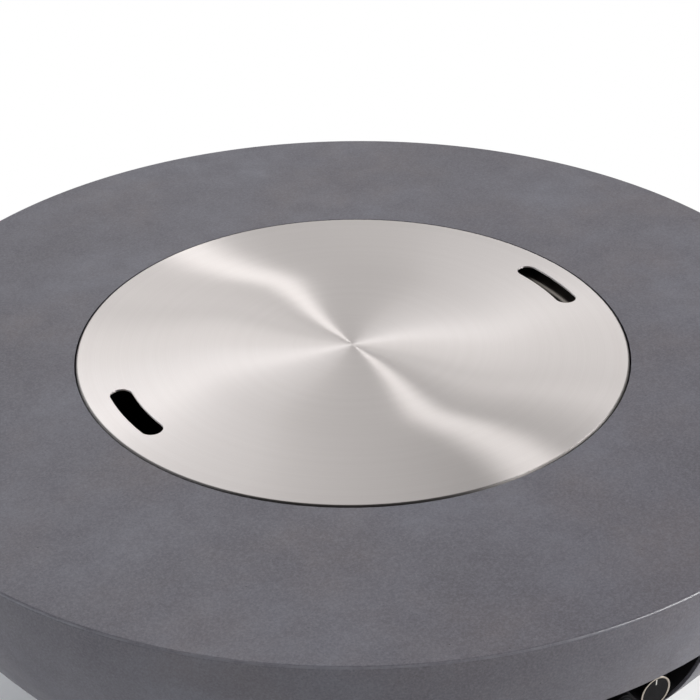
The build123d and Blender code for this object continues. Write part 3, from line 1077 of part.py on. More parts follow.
# Clip that ties both leads to the burner pipe
CLIP_PLANE = Plane((KNOB_OFFSET, -CLIP_DISTANCE, KNOB_HEIGHT), x_dir=(1, 0, 0), z_dir=(0, -1, 0))
with BuildPart() as lead_clip:
    half = CLIP_THICKNESS / 2
    slab(CLIP_PLANE, IGNITION_SPACING + 2 * CLIP_EDGE, CLIP_HEIGHT, -half, half)
    bars(CLIP_PLANE, PIPE_RADIUS + RUNNING_FIT, -half, half, mode=Mode.SUBTRACT)
    bars(CLIP_PLANE, IGNITION_LEAD_RADIUS + RUNNING_FIT, -half, half, [(-LEAD_X, 0)], Mode.SUBTRACT)
    bars(CLIP_PLANE, SENSOR_LEAD_RADIUS + RUNNING_FIT, -half, half, [(LEAD_X, 0)], Mode.SUBTRACT)
lead_clip.part.label = "lead_clip"
export_step(lead_clip.part, "parts/lead_clip.step")

for name, line in (("ignition_lead", ignition_line), ("sensor_lead", sensor_line)):
    print(name, "length", round(sum(edge.length for edge in line.edges()), 1))
print("ignition bends", [round(radius, 1) for radius in bend_radii(IGNITION_ROUTE)])
print("sensor bends", [round(radius, 1) for radius in bend_radii(SENSOR_ROUTE)])
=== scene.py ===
from math import cos, pi, radians, sin

import bpy
import numpy as np
from mathutils import Matrix, Vector


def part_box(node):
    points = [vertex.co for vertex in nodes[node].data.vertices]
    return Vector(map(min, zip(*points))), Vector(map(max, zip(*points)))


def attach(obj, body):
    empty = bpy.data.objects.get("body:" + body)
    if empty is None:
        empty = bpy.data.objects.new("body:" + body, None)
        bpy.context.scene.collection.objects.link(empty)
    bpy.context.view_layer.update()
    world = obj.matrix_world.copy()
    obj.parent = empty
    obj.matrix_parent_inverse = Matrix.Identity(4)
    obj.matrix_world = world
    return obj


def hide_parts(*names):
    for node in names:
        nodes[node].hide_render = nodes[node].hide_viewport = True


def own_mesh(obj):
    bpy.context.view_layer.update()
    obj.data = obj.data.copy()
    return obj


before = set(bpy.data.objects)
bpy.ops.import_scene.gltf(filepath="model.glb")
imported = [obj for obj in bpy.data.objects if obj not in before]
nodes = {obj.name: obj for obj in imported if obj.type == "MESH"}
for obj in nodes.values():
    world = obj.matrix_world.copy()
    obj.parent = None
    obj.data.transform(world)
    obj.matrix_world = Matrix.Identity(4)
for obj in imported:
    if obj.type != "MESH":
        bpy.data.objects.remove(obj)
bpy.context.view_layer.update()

# Camera: stands 1.75 m from the table's middle and 1.05 m above its top, a third of a right angle round from
# the control recess, and looks down on the lid through a long lens. The view is slightly out of level.
table_top = 0.430
recess_bearing = radians(32.2)
look_down = radians(31.08)
out_of_level = radians(-0.62)
aside, standing_back, standing_above = -0.0028, 1.7487, 1.0479
picture_width, focal_length = 700, 1866  # both in pixels
film_width = 36.0
lens = bpy.data.cameras.new("camera")
lens.sensor_width = film_width
lens.lens = film_width * focal_length / picture_width
lens.clip_end = 60.0
camera = bpy.data.objects.new("camera", lens)
bpy.context.scene.collection.objects.link(camera)
facing_camera = Matrix.Rotation(-recess_bearing, 4, "Z")
standing = Matrix.Translation((aside, -standing_back, table_top + standing_above))
tilt = Matrix.Rotation(pi / 2 - look_down, 4, "X") @ Matrix.Rotation(out_of_level, 4, "Z")
camera.matrix_world = facing_camera @ standing @ tilt
bpy.context.scene.camera = camera

# Rubber feet: six round pads moulded in black rubber, each screwed up into the bowl's base from below.
# The rubber is matt and a little dusty, paler where it has been handled.


def tone(red, green, blue):
    """A colour given as screen values from 0 to 255, as the linear colour that a shader takes."""
    screen = np.array([red, green, blue]) / 255
    linear = np.where(screen <= 0.04045, screen / 12.92, ((screen + 0.055) / 1.055) ** 2.4)
    return (*linear.tolist(), 1.0)


def new_finish(name, **sockets):
    """A node material: returns it with its node tree, its shader and the piece's own coordinates."""
    finish = bpy.data.materials.new(name)
    finish.use_nodes = True
    tree = finish.node_tree
    shader = tree.nodes["Principled BSDF"]
    for socket, value in sockets.items():
        shader.inputs[socket.replace("_", " ")].default_value = value
    return finish, tree, shader, tree.nodes.new("ShaderNodeTexCoord").outputs["Object"]


def add(tree, kind, feeds, **options):
    """Adds a shader node, sets its options and feeds its sockets from other nodes or plain values."""
    made = tree.nodes.new("ShaderNode" + kind)
    for option, choice in options.items():
        setattr(made, option, choice)
    for socket, feed in feeds.items():
        if isinstance(feed, bpy.types.NodeSocket):
            tree.links.new(feed, made.inputs[socket])
        else:
            made.inputs[socket].default_value = feed
    return made.outputs


def clouds(tree, place, scale, detail=3.0, rough=0.55):
    """Soft fractal noise at a number of features a metre, from 0 to 1."""
    return add(tree, "TexNoise", {"Vector": place, "Scale": scale, "Detail": detail, "Roughness": rough})[0]


def ramp(tree, factor, *stops):
    """Colours or greys along a factor, each stop a place and a colour."""
    made = tree.nodes.new("ShaderNodeValToRGB")
    tree.links.new(factor, made.inputs[0])
    line = made.color_ramp.elements
    while len(line) < len(stops):
        line.new(0.5)
    for element, (place, colour) in zip(line, stops):
        element.position = place
        element.color = colour if isinstance(colour, tuple) else (colour, colour, colour, 1.0)
    return made.outputs["Color"]


def span(tree, value, low, high, start, stop):
    """A value's range from low to high, spread evenly from start to stop and held at its ends."""
    feeds = {"Value": value, "From Min": low, "From Max": high, "To Min": start, "To Max": stop}
    return add(tree, "MapRange", feeds)[0]


def paint(tree, shader, colour, roughness):
    """Leads a colour and a roughness to the shader."""
    tree.links.new(colour, shader.inputs["Base Color"])
    tree.links.new(roughness, shader.inputs["Roughness"])


def relief(tree, shader, height, depth, strength=1.0):
    """Raises the surface by a height from 0 to 1 times a depth in metres."""
    lifted = add(tree, "Bump", {"Height": height, "Distance": depth, "Strength": strength})[0]
    tree.links.new(lifted, shader.inputs["Normal"])


def dress(finish, *names):
    """Gives CAD nodes a finish."""
    for name in names:
        nodes[name].data.materials.clear()
        nodes[name].data.materials.append(finish)


foot_rubber, tree, shader, place = new_finish("foot_rubber")
dust = clouds(tree, place, 60, 5)
rubber = ramp(tree, dust, (0.35, tone(26, 26, 27)), (0.75, tone(46, 45, 44)))
paint(tree, shader, rubber, span(tree, dust, 0.3, 0.8, 0.62, 0.85))
relief(tree, shader, clouds(tree, place, 900, 2), 0.0002)
dress(foot_rubber, *[f"foot_{number}" for number in range(1, 7)])

# Concrete bowl: cast upside down in a mould from fine grey concrete and sealed. Its face shows faint
# clouding, a fine sandy grain and a few pinholes, painted dark as painted shade inside them. The arris round
# the top is smoother, and painted paler as a painted highlight.
arris_inner, arris_outer = 0.5308, 0.5318
arris_low, arris_high = 0.4280, 0.4290


def sums(tree, how, first, second):
    """One sum of two numbers, such as ADD, MULTIPLY or GREATER_THAN."""
    return add(tree, "Math", {0: first, 1: second}, operation=how)[0]


def layer(tree, factor, under, over):
    """One colour laid over another by a factor."""
    return add(tree, "Mix", {0: factor, 6: under, 7: over}, data_type="RGBA")[2]


def height_of(tree, place):
    """How high a point lies above the ground."""
    return add(tree, "SeparateXYZ", {0: place})["Z"]


def reach_of(tree, place):
    """How far a point lies from the table's upright middle line."""
    level = add(tree, "VectorMath", {0: place, 1: (1.0, 1.0, 0.0)}, operation="MULTIPLY")[0]
    return add(tree, "VectorMath", {0: level}, operation="LENGTH")["Value"]


concrete, tree, shader, place = new_finish("concrete", Specular_IOR_Level=0.5)
clouding = clouds(tree, place, 4.5, 5, 0.6)
mottle = clouds(tree, place, 26, 6, 0.62)
brown = clouds(tree, place, 7.0, 4)
pale_sand = clouds(tree, place, 420, 3, 0.7)
dark_sand = clouds(tree, place, 560, 2, 0.6)
cast = ramp(tree, clouding, (0.34, tone(81, 78, 85)), (0.50, tone(90, 88, 96)), (0.66, tone(100, 100, 109)))
cast = layer(tree, span(tree, brown, 0.46, 0.66, 0.0, 0.6), cast, tone(95, 87, 89))
cast = layer(tree, span(tree, mottle, 0.35, 0.7, 0.0, 0.6), cast, tone(81, 78, 86))
cast = layer(tree, span(tree, pale_sand, 0.40, 0.75, 0.0, 0.55), cast, tone(122, 121, 130))
cast = layer(tree, span(tree, dark_sand, 0.50, 0.75, 0.0, 0.45), cast, tone(64, 61, 67))
at_edge = span(tree, reach_of(tree, place), arris_inner, arris_outer, 0.0, 1.0)
at_top = span(tree, height_of(tree, place), arris_low, arris_high, 0.0, 1.0)
arris = sums(tree, "MULTIPLY", at_edge, at_top)
# The arris band is painted paler, as a painted highlight along the top edge.
painted_arris_highlight = sums(tree, "MULTIPLY", arris, span(tree, clouds(tree, place, 60, 4), 0.30, 0.60, 0.25, 0.8))
cast = layer(tree, painted_arris_highlight, cast, tone(126, 126, 132))
cells = add(tree, "TexVoronoi", {"Vector": place, "Scale": 75.0})
chosen = sums(tree, "GREATER_THAN", add(tree, "SeparateColor", {0: cells["Color"]})[0], 0.86)
pinhole = sums(tree, "MULTIPLY", chosen, span(tree, cells["Distance"], 0.03, 0.085, 1.0, 0.0))
# The pinholes are painted dark, as painted shade in them.
cast = layer(tree, span(tree, pinhole, 0.0, 1.0, 0.0, 0.6), cast, tone(50, 48, 52))
sealed = span(tree, mottle, 0.3, 0.75, 0.39, 0.51)
smoother = span(tree, arris, 0.0, 1.0, 0.0, 0.20)
paint(tree, shader, cast, sums(tree, "SUBTRACT", sealed, smoother))
relief(tree, shader, sums(tree, "SUBTRACT", sums(tree, "MULTIPLY", pale_sand, 0.22), pinhole), 0.0006, 0.55)
dress(concrete, "bowl")

# Steel fasteners: screws, studs, nuts and the valve's stem, turned from steel bar and zinc plated. Each is
# seated on the piece that it holds.
zinc_steel, tree, shader, place = new_finish("zinc_steel", Metallic=1.0)
film = clouds(tree, place, 240, 4)
plating = ramp(tree, film, (0.3, tone(182, 184, 190)), (0.7, tone(206, 205, 200)))
paint(tree, shader, plating, span(tree, film, 0.3, 0.75, 0.24, 0.42))
relief(tree, shader, clouds(tree, place, 2600, 2), 0.00005)
dress(zinc_steel, "foot_screws", "base_screws", "pan_screws", "bracket_screws", "tray_screws", "shield_studs",
      "shield_nuts", "burner_locknut", "inlet_locknut", "valve_nut", "igniter_nut", "valve_stem")

# Base plate: vented disc of galvanised steel sheet, painted grey so that the zinc's flakes still show
# faintly. It is screwed on to the ledge round the opening in the bowl's floor.
base_steel, tree, shader, place = new_finish("base_steel", Metallic=0.35)
flakes = add(tree, "TexVoronoi", {"Vector": place, "Scale": 130.0})["Color"]
flake = add(tree, "SeparateColor", {0: flakes})[0]
galvanised = ramp(tree, flake, (0.0, tone(104, 106, 110)), (1.0, tone(128, 130, 133)))
paint(tree, shader, galvanised, span(tree, flake, 0.0, 1.0, 0.38, 0.52))
relief(tree, shader, clouds(tree, place, 700, 3), 0.0001)
dress(base_steel, "base_plate")

# Brass fittings: gas inlet, valve body, plug and cap, pipe nuts, injector and its holder, all turned
# from brass bar and screwed together. The inlet's hose thread shows as fine ridges.
hose_thread_end = 0.0355
thread_pitch = 0.0014
valve_brass, tree, shader, place = new_finish("valve_brass", Metallic=1.0)
tarnish = clouds(tree, place, 130, 5, 0.6)
brass = ramp(tree, tarnish, (0.28, tone(150, 116, 62)), (0.5, tone(196, 160, 92)), (0.75, tone(214, 182, 118)))
paint(tree, shader, brass, span(tree, tarnish, 0.3, 0.75, 0.40, 0.22))
height = height_of(tree, place)
on_thread = sums(tree, "LESS_THAN", height, hose_thread_end)
wave = sums(tree, "SINE", sums(tree, "MULTIPLY", height, pi / thread_pitch), 0.0)
relief(tree, shader, sums(tree, "MULTIPLY", on_thread, sums(tree, "ABSOLUTE", wave, 0.0)), 0.0006)
dress(valve_brass, "valve_body", "valve_plug", "valve_cap", "injector_holder", "injector", "inlet_fitting",
      "pipe_nuts")

# Ledge gasket: flat ring of felted ceramic fibre under the pan's flange, off-white and fuzzy. Its edges
# bulge a little where the flange presses on it, and holes are punched through it for the pan's screws.
gasket_inner, gasket_bulge = 0.276, 0.0004
pan_screw_circle, pan_screw_hole = 0.2864, 0.0033
quarters = [45, 135, 225, 315]
punch_spare = 0.001
gasket_fibre, tree, shader, place = new_finish("gasket_fibre", Sheen_Weight=0.3)
fibres = clouds(tree, place, 1500, 4, 0.7)
felt = ramp(tree, fibres, (0.3, tone(178, 172, 160)), (0.7, tone(214, 208, 196)))
paint(tree, shader, felt, span(tree, fibres, 0.2, 0.8, 0.85, 0.98))
relief(tree, shader, fibres, 0.0004)


def grid_mesh(name, grids, finish, pointed=False):
    """One piece from grids of points (rows, columns, 3). The columns close round each row. The rows close to
    a ring, or, where the grids are pointed, run from one point to another."""
    places, faces, count = [], [], 0
    for points in grids:
        rows, columns = points.shape[:2]
        spots = points.reshape(-1, 3)
        if pointed:  # one spot is enough for the first row and one for the last
            rows, spots = rows - 2, spots[columns - 1:1 - columns]
        corner = count + int(pointed) + np.arange(rows * columns).reshape(rows, columns)
        if not pointed:
            corner = np.concatenate([corner, corner[:1]])
        beside = np.roll(corner, -1, axis=1)
        faces += np.stack([corner[:-1], corner[1:], beside[1:], beside[:-1]], -1).reshape(-1, 4).tolist()
        if pointed:
            last = count + len(spots) - 1
            faces += [(count, one, two) for one, two in zip(corner[0].tolist(), beside[0].tolist())]
            faces += [(one, last, two) for one, two in zip(corner[-1].tolist(), beside[-1].tolist())]
        places.append(spots)
        count += len(spots)
    mesh = bpy.data.meshes.new(name)
    mesh.from_pydata(np.concatenate(places), [], faces)
    mesh.shade_smooth()
    mesh.materials.append(finish)
    piece = bpy.data.objects.new(name, mesh)
    bpy.context.scene.collection.objects.link(piece)
    return piece


def squashed_ring(inner, outer, low, high, bulge, around=360, across=32):
    """Ring with bulging edges: at each angle the section is a flat oval, x^6 + z^6 = 1 across its middle,
    whose half width also waves by the bulge as the sum of two slow sines round the ring."""
    angle = np.linspace(0, 2 * pi, around, endpoint=False)[:, None]
    turn = np.linspace(0, 2 * pi, across, endpoint=False)[None, :]
    oval = (np.abs(np.cos(turn)) ** 6 + np.abs(np.sin(turn)) ** 6) ** (-1 / 6)
    wave = bulge * (np.sin(7 * angle) + np.sin(19 * angle + 1.3)) / 2 - bulge
    half = (outer - inner) / 2 + wave
    radius = (inner + outer) / 2 + half * oval * np.cos(turn)
    height = (low + high) / 2 + (high - low) / 2 * oval * np.sin(turn) + 0 * angle
    return np.stack([radius * np.cos(angle), radius * np.sin(angle), height], -1)


def punch_skin(x, y, radius, low, high, around=48):
    """Upright round punch: a point, a circle at the low level, one at the high level, and a point."""
    turn = np.linspace(0, -2 * pi, around, endpoint=False)[None, :]
    reach = radius * np.array([0, 1, 1, 0])[:, None]
    level = np.array([low, low, high, high])[:, None] + 0 * turn
    return np.stack([x + reach * np.cos(turn), y + reach * np.sin(turn), level], -1)


gasket_low, gasket_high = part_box("ledge_gasket")
gasket_ring = squashed_ring(gasket_inner, gasket_high.x, gasket_low.z, gasket_high.z, gasket_bulge)
gasket = grid_mesh("felt_gasket", [gasket_ring], gasket_fibre)
under, over = gasket_low.z - punch_spare, gasket_high.z + punch_spare
punches = []
for bearing in quarters:
    x, y = pan_screw_circle * cos(radians(bearing)), pan_screw_circle * sin(radians(bearing))
    punches.append(punch_skin(x, y, pan_screw_hole, under, over))
punch = grid_mesh("gasket_punch", punches, gasket_fibre, pointed=True)
holes = gasket.modifiers.new("screw_holes", "BOOLEAN")
holes.operation, holes.solver, holes.object = "DIFFERENCE", "EXACT", punch
punched = bpy.data.meshes.new_from_object(gasket.evaluated_get(bpy.context.evaluated_depsgraph_get()))
punched.set_sharp_from_angle(angle=radians(50))
gasket.modifiers.clear()
gasket.data = punched
bpy.data.objects.remove(punch)
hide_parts("ledge_gasket")
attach(gasket, "table")

# Burner pan, heat shield and ignition bracket: stainless sheet, the pan spun to its shape, so that fine
# rings run round it. Low in the pan the steel is painted darker, as painted shade under the lid, with straw and
# brown heat marks round the burner.
painted_shade_low, painted_shade_high = 0.372, 0.402
heat_near, heat_far = 0.09, 0.26


def turned_rings(tree, reach, count, detail=3.0):
    """Marks left by turning: noise along the reach alone, at a number of rings a metre."""
    along = sums(tree, "MULTIPLY", reach, count)
    return add(tree, "TexNoise", {"W": along, "Scale": 1.0, "Detail": detail}, noise_dimensions="1D")[0]


pan_stainless, tree, shader, place = new_finish("pan_stainless", Metallic=1.0, Anisotropic=0.4)
reach = reach_of(tree, place)
rings = turned_rings(tree, reach, 900.0)
stain = clouds(tree, place, 14, 5, 0.6)
# Painted shade: the steel is darkened below a height, for the dark space under the lid.
low_in_pan = span(tree, height_of(tree, place), painted_shade_low, painted_shade_high, 1.0, 0.0)
pan_painted_shade = sums(tree, "MULTIPLY", low_in_pan, span(tree, stain, 0.3, 0.7, 0.6, 1.0))
steel = ramp(tree, rings, (0.2, tone(118, 112, 107)), (0.8, tone(146, 140, 134)))
steel = layer(tree, pan_painted_shade, steel, tone(66, 61, 58))
heated = span(tree, reach, heat_near, heat_far, 1.0, 0.0)
heat = sums(tree, "MULTIPLY", heated, span(tree, stain, 0.3, 0.7, 0.35, 1.0))
burnt = ramp(tree, heat, (0.0, tone(150, 142, 130)), (0.45, tone(140, 112, 80)), (0.8, tone(96, 70, 64)),
             (1.0, tone(78, 74, 92)))
steel = layer(tree, span(tree, heat, 0.05, 0.8, 0.0, 0.75), steel, burnt)
spun = span(tree, rings, 0.2, 0.8, 0.38, 0.50)
paint(tree, shader, steel, sums(tree, "ADD", spun, span(tree, pan_painted_shade, 0.0, 1.0, 0.0, 0.16)))
relief(tree, shader, rings, 0.00006)
dress(pan_stainless, "burner_pan", "heat_shield", "ignition_bracket")

# Burner: two rings of stainless tube on a cross of tubes, welded to a hub, with flame ports drilled along
# the top, and the mixer and probes below. The heat has tinted it straw, brown and blue.
burner_stainless, tree, shader, place = new_finish("burner_stainless", Metallic=1.0)
tint = clouds(tree, place, 22, 5, 0.6)
tube = ramp(tree, tint, (0.30, tone(176, 171, 165)), (0.46, tone(176, 162, 140)), (0.58, tone(146, 126, 112)),
            (0.72, tone(118, 119, 132)))
paint(tree, shader, tube, span(tree, clouds(tree, place, 180, 4), 0.3, 0.75, 0.30, 0.48))
relief(tree, shader, clouds(tree, place, 1400, 3), 0.00008)
dress(burner_stainless, "burner", "burner_spacer", "mixer_tube", "air_shutter", "thermocouple", "electrode_rod")

# Welds of the burner: beads laid round each cross tube where it meets a ring or the hub, rippled by the
# torch's steps and blued by the heat.
burner_level, cross_tube, bead_thick = 0.3535, 0.0070, 0.0016
bead_places = [0.0250, 0.0605, 0.0795, 0.1405]
weld_bead, tree, shader, place = new_finish("weld_bead", Metallic=1.0)
blued = ramp(tree, clouds(tree, place, 320, 3), (0.3, tone(104, 92, 96)), (0.6, tone(142, 120, 104)),
             (0.8, tone(96, 104, 128)))
paint(tree, shader, blued, span(tree, clouds(tree, place, 700, 2), 0.3, 0.7, 0.35, 0.55))


def bead_ring(middle, axis, tube, thick, ripples=26, around=104, across=10):
    """Weld bead round a tube: a circle of the tube's radius carries a round section whose thickness
    swells as |sin| of the ripples along the circle."""
    axis = np.array(axis, float)
    side = np.array([0.0, 0.0, 1.0])
    cross = np.cross(axis, side)
    angle = np.linspace(0, 2 * pi, around, endpoint=False)[:, None, None]
    turn = np.linspace(0, 2 * pi, across, endpoint=False)[None, :, None]
    outward = np.cos(angle) * side + np.sin(angle) * cross
    section = thick * (0.8 + 0.2 * np.abs(np.sin(ripples * angle / 2)))
    return np.array(middle) + outward * (tube + section * np.cos(turn)) + axis * section * np.sin(turn)


beads = []
for out in ((1, 0, 0), (0, 1, 0), (-1, 0, 0), (0, -1, 0)):
    for distance in bead_places:
        middle = (out[0] * distance, out[1] * distance, burner_level)
        beads.append(bead_ring(middle, out, cross_tube, bead_thick))
burner_welds = grid_mesh("burner_welds", beads, weld_bead)
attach(burner_welds, "table")

# Igniter electrode: white glazed ceramic tube round the spark rod, fired with faint specks in the glaze
# and clamped in the bracket beside the burner.
white_ceramic, tree, shader, place = new_finish("white_ceramic", Coat_Weight=0.5)
specks = clouds(tree, place, 900, 2)
glaze = ramp(tree, specks, (0.28, tone(196, 188, 172)), (0.42, tone(232, 228, 218)))
paint(tree, shader, glaze, span(tree, specks, 0.3, 0.7, 0.22, 0.34))
dress(white_ceramic, "electrode_insulator")

# Lava rocks: broken volcanic rock, rust brown to black and full of pores, which are painted near black as
# painted shade in them. They are laid on the pan's floor round the burner tubes. The place of the ignition
# bracket is left free.
pan_floor, pan_flat = 0.3295, 0.232
hub_reach, inner_ring, outer_ring, ring_tube = 0.024, 0.070, 0.150, 0.009
rock_step, wall_step, bracket_step = 27, 22.5, 12
rock_planes, rock_ripples, rock_pits = 13, 14, 60
edge_power = 14
floor_gap = 0.0002
lava_rock, tree, shader, place = new_finish("lava_rock", Specular_IOR_Level=0.25)
rust = clouds(tree, place, 30, 5, 0.65)
pores = add(tree, "TexVoronoi", {"Vector": place, "Scale": 330.0})["Distance"]
stone = ramp(tree, rust, (0.34, tone(58, 51, 50)), (0.5, tone(84, 66, 58)), (0.66, tone(118, 82, 66)))
crust = span(tree, clouds(tree, place, 240, 4, 0.7), 0.45, 0.7, 0.0, 0.6)
stone = layer(tree, crust, stone, tone(126, 108, 98))
# The pores are painted near black, as painted shade in them.
stone = layer(tree, span(tree, pores, 0.1, 0.45, 0.9, 0.0), stone, tone(20, 17, 17))
paint(tree, shader, stone, span(tree, rust, 0.3, 0.7, 0.82, 0.96))
relief(tree, shader, span(tree, pores, 0.0, 0.5, 0.0, 1.0), 0.002)


def rock_skin(size, seed, down=44, around=64):
    """Lava rock: thirteen planes trim a ball at depths that vary with the seed. Along each direction u the
    skin lies at (sum of (n.u / depth)^14)^(-1/14), which rounds the edges, less ripples and pits."""
    facet = np.arange(rock_planes)
    rise = 1 - (2 * facet + 1) / rock_planes
    heading = np.radians(facet * 137.5) + seed
    depth = size * (0.72 + 0.1 * np.sin(3.1 * facet + 5.7 * seed))
    spread = np.sqrt(1 - rise * rise)
    normal = np.stack([spread * np.cos(heading), spread * np.sin(heading), rise], -1)
    polar = np.linspace(0.0, pi, down)[:, None]
    turn = np.linspace(0, 2 * pi, around, endpoint=False)[None, :]
    u = np.stack([np.sin(polar) * np.cos(turn), np.sin(polar) * np.sin(turn), np.cos(polar) + 0 * turn], -1)
    facing = np.clip(u @ normal.T, 0, None) / depth
    sides = np.clip(np.concatenate([u, -u], -1), 0, None) / size
    skin = ((facing ** edge_power).sum(-1) + (sides ** edge_power).sum(-1)) ** (-1 / edge_power)
    chance = np.random.default_rng(int(seed * 100) + 7)
    waves = chance.normal(size=(rock_ripples, 3)) * 6
    ripple = np.sin(u @ waves.T + chance.uniform(0, 6.28, rock_ripples)).mean(-1)
    pits = chance.normal(size=(rock_pits, 3))
    pits /= np.linalg.norm(pits, axis=1, keepdims=True)
    width = chance.uniform(0.05, 0.13, rock_pits)
    dents = np.exp(-(1 - u @ pits.T) / width ** 2 * 2).max(-1)
    skin = skin * (0.965 + 0.05 * ripple - 0.085 * dents)
    points = u * skin[..., None]
    points[0], points[-1] = points[0].mean(0), points[-1].mean(0)
    return points


hub_rock = (inner_ring - ring_tube - hub_reach) / 2
ring_circle = (outer_ring + inner_ring) / 2
ring_rock = ring_circle * sin(radians(rock_step / 2))
wall_rock = (pan_flat - outer_ring - ring_tube) / 2
rock_rings = [
    (hub_reach + hub_rock, hub_rock, quarters),
    (ring_circle, ring_rock, [middle + rock_step * side for middle in quarters for side in (-1, 0, 1)]),
    (outer_ring + ring_tube + wall_rock, wall_rock, [wall_step * n for n in range(16) if n != bracket_step]),
]
skins = []
for ring, (circle, size, bearings) in enumerate(rock_rings):
    for bearing in bearings:
        skin = rock_skin(size, bearing + ring)
        lift = pan_floor + floor_gap - skin[..., 2].min()
        skins.append(skin + (circle * cos(radians(bearing)), circle * sin(radians(bearing)), lift))
rough_rocks = grid_mesh("rough_rocks", skins, lava_rock, pointed=True)
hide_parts("lava_rocks")
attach(rough_rocks, "table")

# Control tray: pocket folded from steel sheet and powder coated satin black, with the coating's fine peel.
# It is screwed into the recess in the bowl's side.
black_steel, tree, shader, place = new_finish("black_steel", Specular_IOR_Level=0.1)
peel = clouds(tree, place, 900, 3)
coating = ramp(tree, clouds(tree, place, 40, 4), (0.3, tone(14, 13, 15)), (0.7, tone(20, 18, 21)))
paint(tree, shader, coating, span(tree, peel, 0.3, 0.7, 0.34, 0.48))
relief(tree, shader, peel, 0.00015)
dress(black_steel, "control_tray")

# Springs behind the knob and the igniter button: bright drawn wire, wound with a flat turn at each end.
# Each stands on the piece behind it.
spring_wire, flat_turn = 0.00045, 0.6
spring_steel, tree, shader, place = new_finish("spring_steel", Metallic=1.0)
drawn = clouds(tree, place, 1800, 3)
bright_wire = ramp(tree, drawn, (0.3, tone(140, 141, 144)), (0.7, tone(176, 177, 180)))
paint(tree, shader, bright_wire, span(tree, drawn, 0.3, 0.7, 0.22, 0.36))
dress(spring_steel, "stem_spring", "igniter_spring")


def coil_skin(low, high, turns, along=40, around=12):
    """Coil spring along y in the box from low to high: the wire's middle winds round the box's axis, climbs
    evenly but for 0.6 of a turn held flat at each end, and carries a round section that closes at its ends."""
    share = np.linspace(0, 1, along * turns + 1)[:, None]
    wind = 2 * pi * turns * share
    turn = np.linspace(0, 2 * pi, around, endpoint=False)[None, :]
    climb = np.clip((turns * share - flat_turn) / (turns - 2 * flat_turn), 0, 1)
    radius = (high.x - low.x) / 2 - spring_wire + spring_wire * np.cos(turn)
    along_y = low.y + spring_wire + climb * (high.y - low.y - 2 * spring_wire) - spring_wire * np.sin(turn)
    across_x = (low.x + high.x) / 2 + radius * np.cos(wind)
    across_z = (low.z + high.z) / 2 + radius * np.sin(wind)
    points = np.stack([across_x, along_y, across_z], -1)
    points[0], points[-1] = points[0].mean(0), points[-1].mean(0)
    return points


for node, body, joint, turns, kept in (
    ("stem_spring", "valve_plug", "knob_push", 5, 0.59),
    ("igniter_spring", "table", "igniter_push", 6, 0.575),
):
    low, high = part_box(node)
    wound = grid_mesh(node + "_wire", [coil_skin(low, high, turns)], spring_steel, pointed=True)
    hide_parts(node)
    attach(wound, body)
    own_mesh(wound)

# Knob, igniter body and lead clip: moulded in black plastic with a fine matt texture. The knob is pushed on
# to the valve's stem, and the igniter is held in the tray by its nut.
black_plastic, tree, shader, place = new_finish("black_plastic", Specular_IOR_Level=0.08)
spark = clouds(tree, place, 1500, 3)
moulded = ramp(tree, clouds(tree, place, 70, 4), (0.3, tone(14, 13, 15)), (0.7, tone(22, 21, 23)))
paint(tree, shader, moulded, span(tree, spark, 0.3, 0.7, 0.42, 0.58))
relief(tree, shader, spark, 0.0001)
dress(black_plastic, "control_knob", "igniter_body", "lead_clip")

# Igniter button: moulded in the same plastic and rubbed greyer by thumbs. It slides in the igniter's body
# against its spring.
button_plastic, tree, shader, place = new_finish("button_plastic", Specular_IOR_Level=0.25)
rub = clouds(tree, place, 160, 4)
thumbed = ramp(tree, rub, (0.3, tone(34, 34, 37)), (0.7, tone(50, 49, 52)))
paint(tree, shader, thumbed, span(tree, rub, 0.3, 0.7, 0.38, 0.55))
relief(tree, shader, clouds(tree, place, 1500, 3), 0.0001)
dress(button_plastic, "igniter_button")

# Knob trim: turned ring, chromed and polished with hair-fine marks, and pressed round the knob's face. Its
# faintly warm colour is a painted reflection of the room.
ring_chrome, tree, shader, place = new_finish("ring_chrome", Metallic=1.0)
marks = clouds(tree, place, 2400, 3)
# The warm tint in these colours is a painted reflection of the room.
chrome_and_painted_reflection = ramp(tree, marks, (0.3, tone(158, 149, 138)), (0.7, tone(182, 173, 162)))
paint(tree, shader, chrome_and_painted_reflection, span(tree, marks, 0.3, 0.7, 0.10, 0.20))
dress(ring_chrome, "knob_ring")

# Pointer: short bar of pale enamel, let into a groove in the knob's face at the top, so that it shows which
# way the knob is turned.
pointer_white, tree, shader, place = new_finish("pointer_white")
enamel = clouds(tree, place, 1200, 3)
pale = ramp(tree, enamel, (0.3, tone(206, 203, 196)), (0.7, tone(226, 224, 218)))
paint(tree, shader, pale, span(tree, enamel, 0.3, 0.7, 0.35, 0.5))
dress(pointer_white, "knob_pointer")

# Gas pipes: drawn aluminium tube with a dull satin skin, bent cold from the inlet to the valve and from the
# valve to the burner, and held by nuts.
pipe_aluminium, tree, shader, place = new_finish("pipe_aluminium", Metallic=1.0)
satin = clouds(tree, place, 260, 4)
aluminium = ramp(tree, satin, (0.3, tone(196, 197, 199)), (0.7, tone(216, 217, 219)))
paint(tree, shader, aluminium, span(tree, satin, 0.3, 0.7, 0.30, 0.44))
relief(tree, shader, clouds(tree, place, 1800, 2), 0.00006)
dress(pipe_aluminium, "burner_pipe", "inlet_pipe")

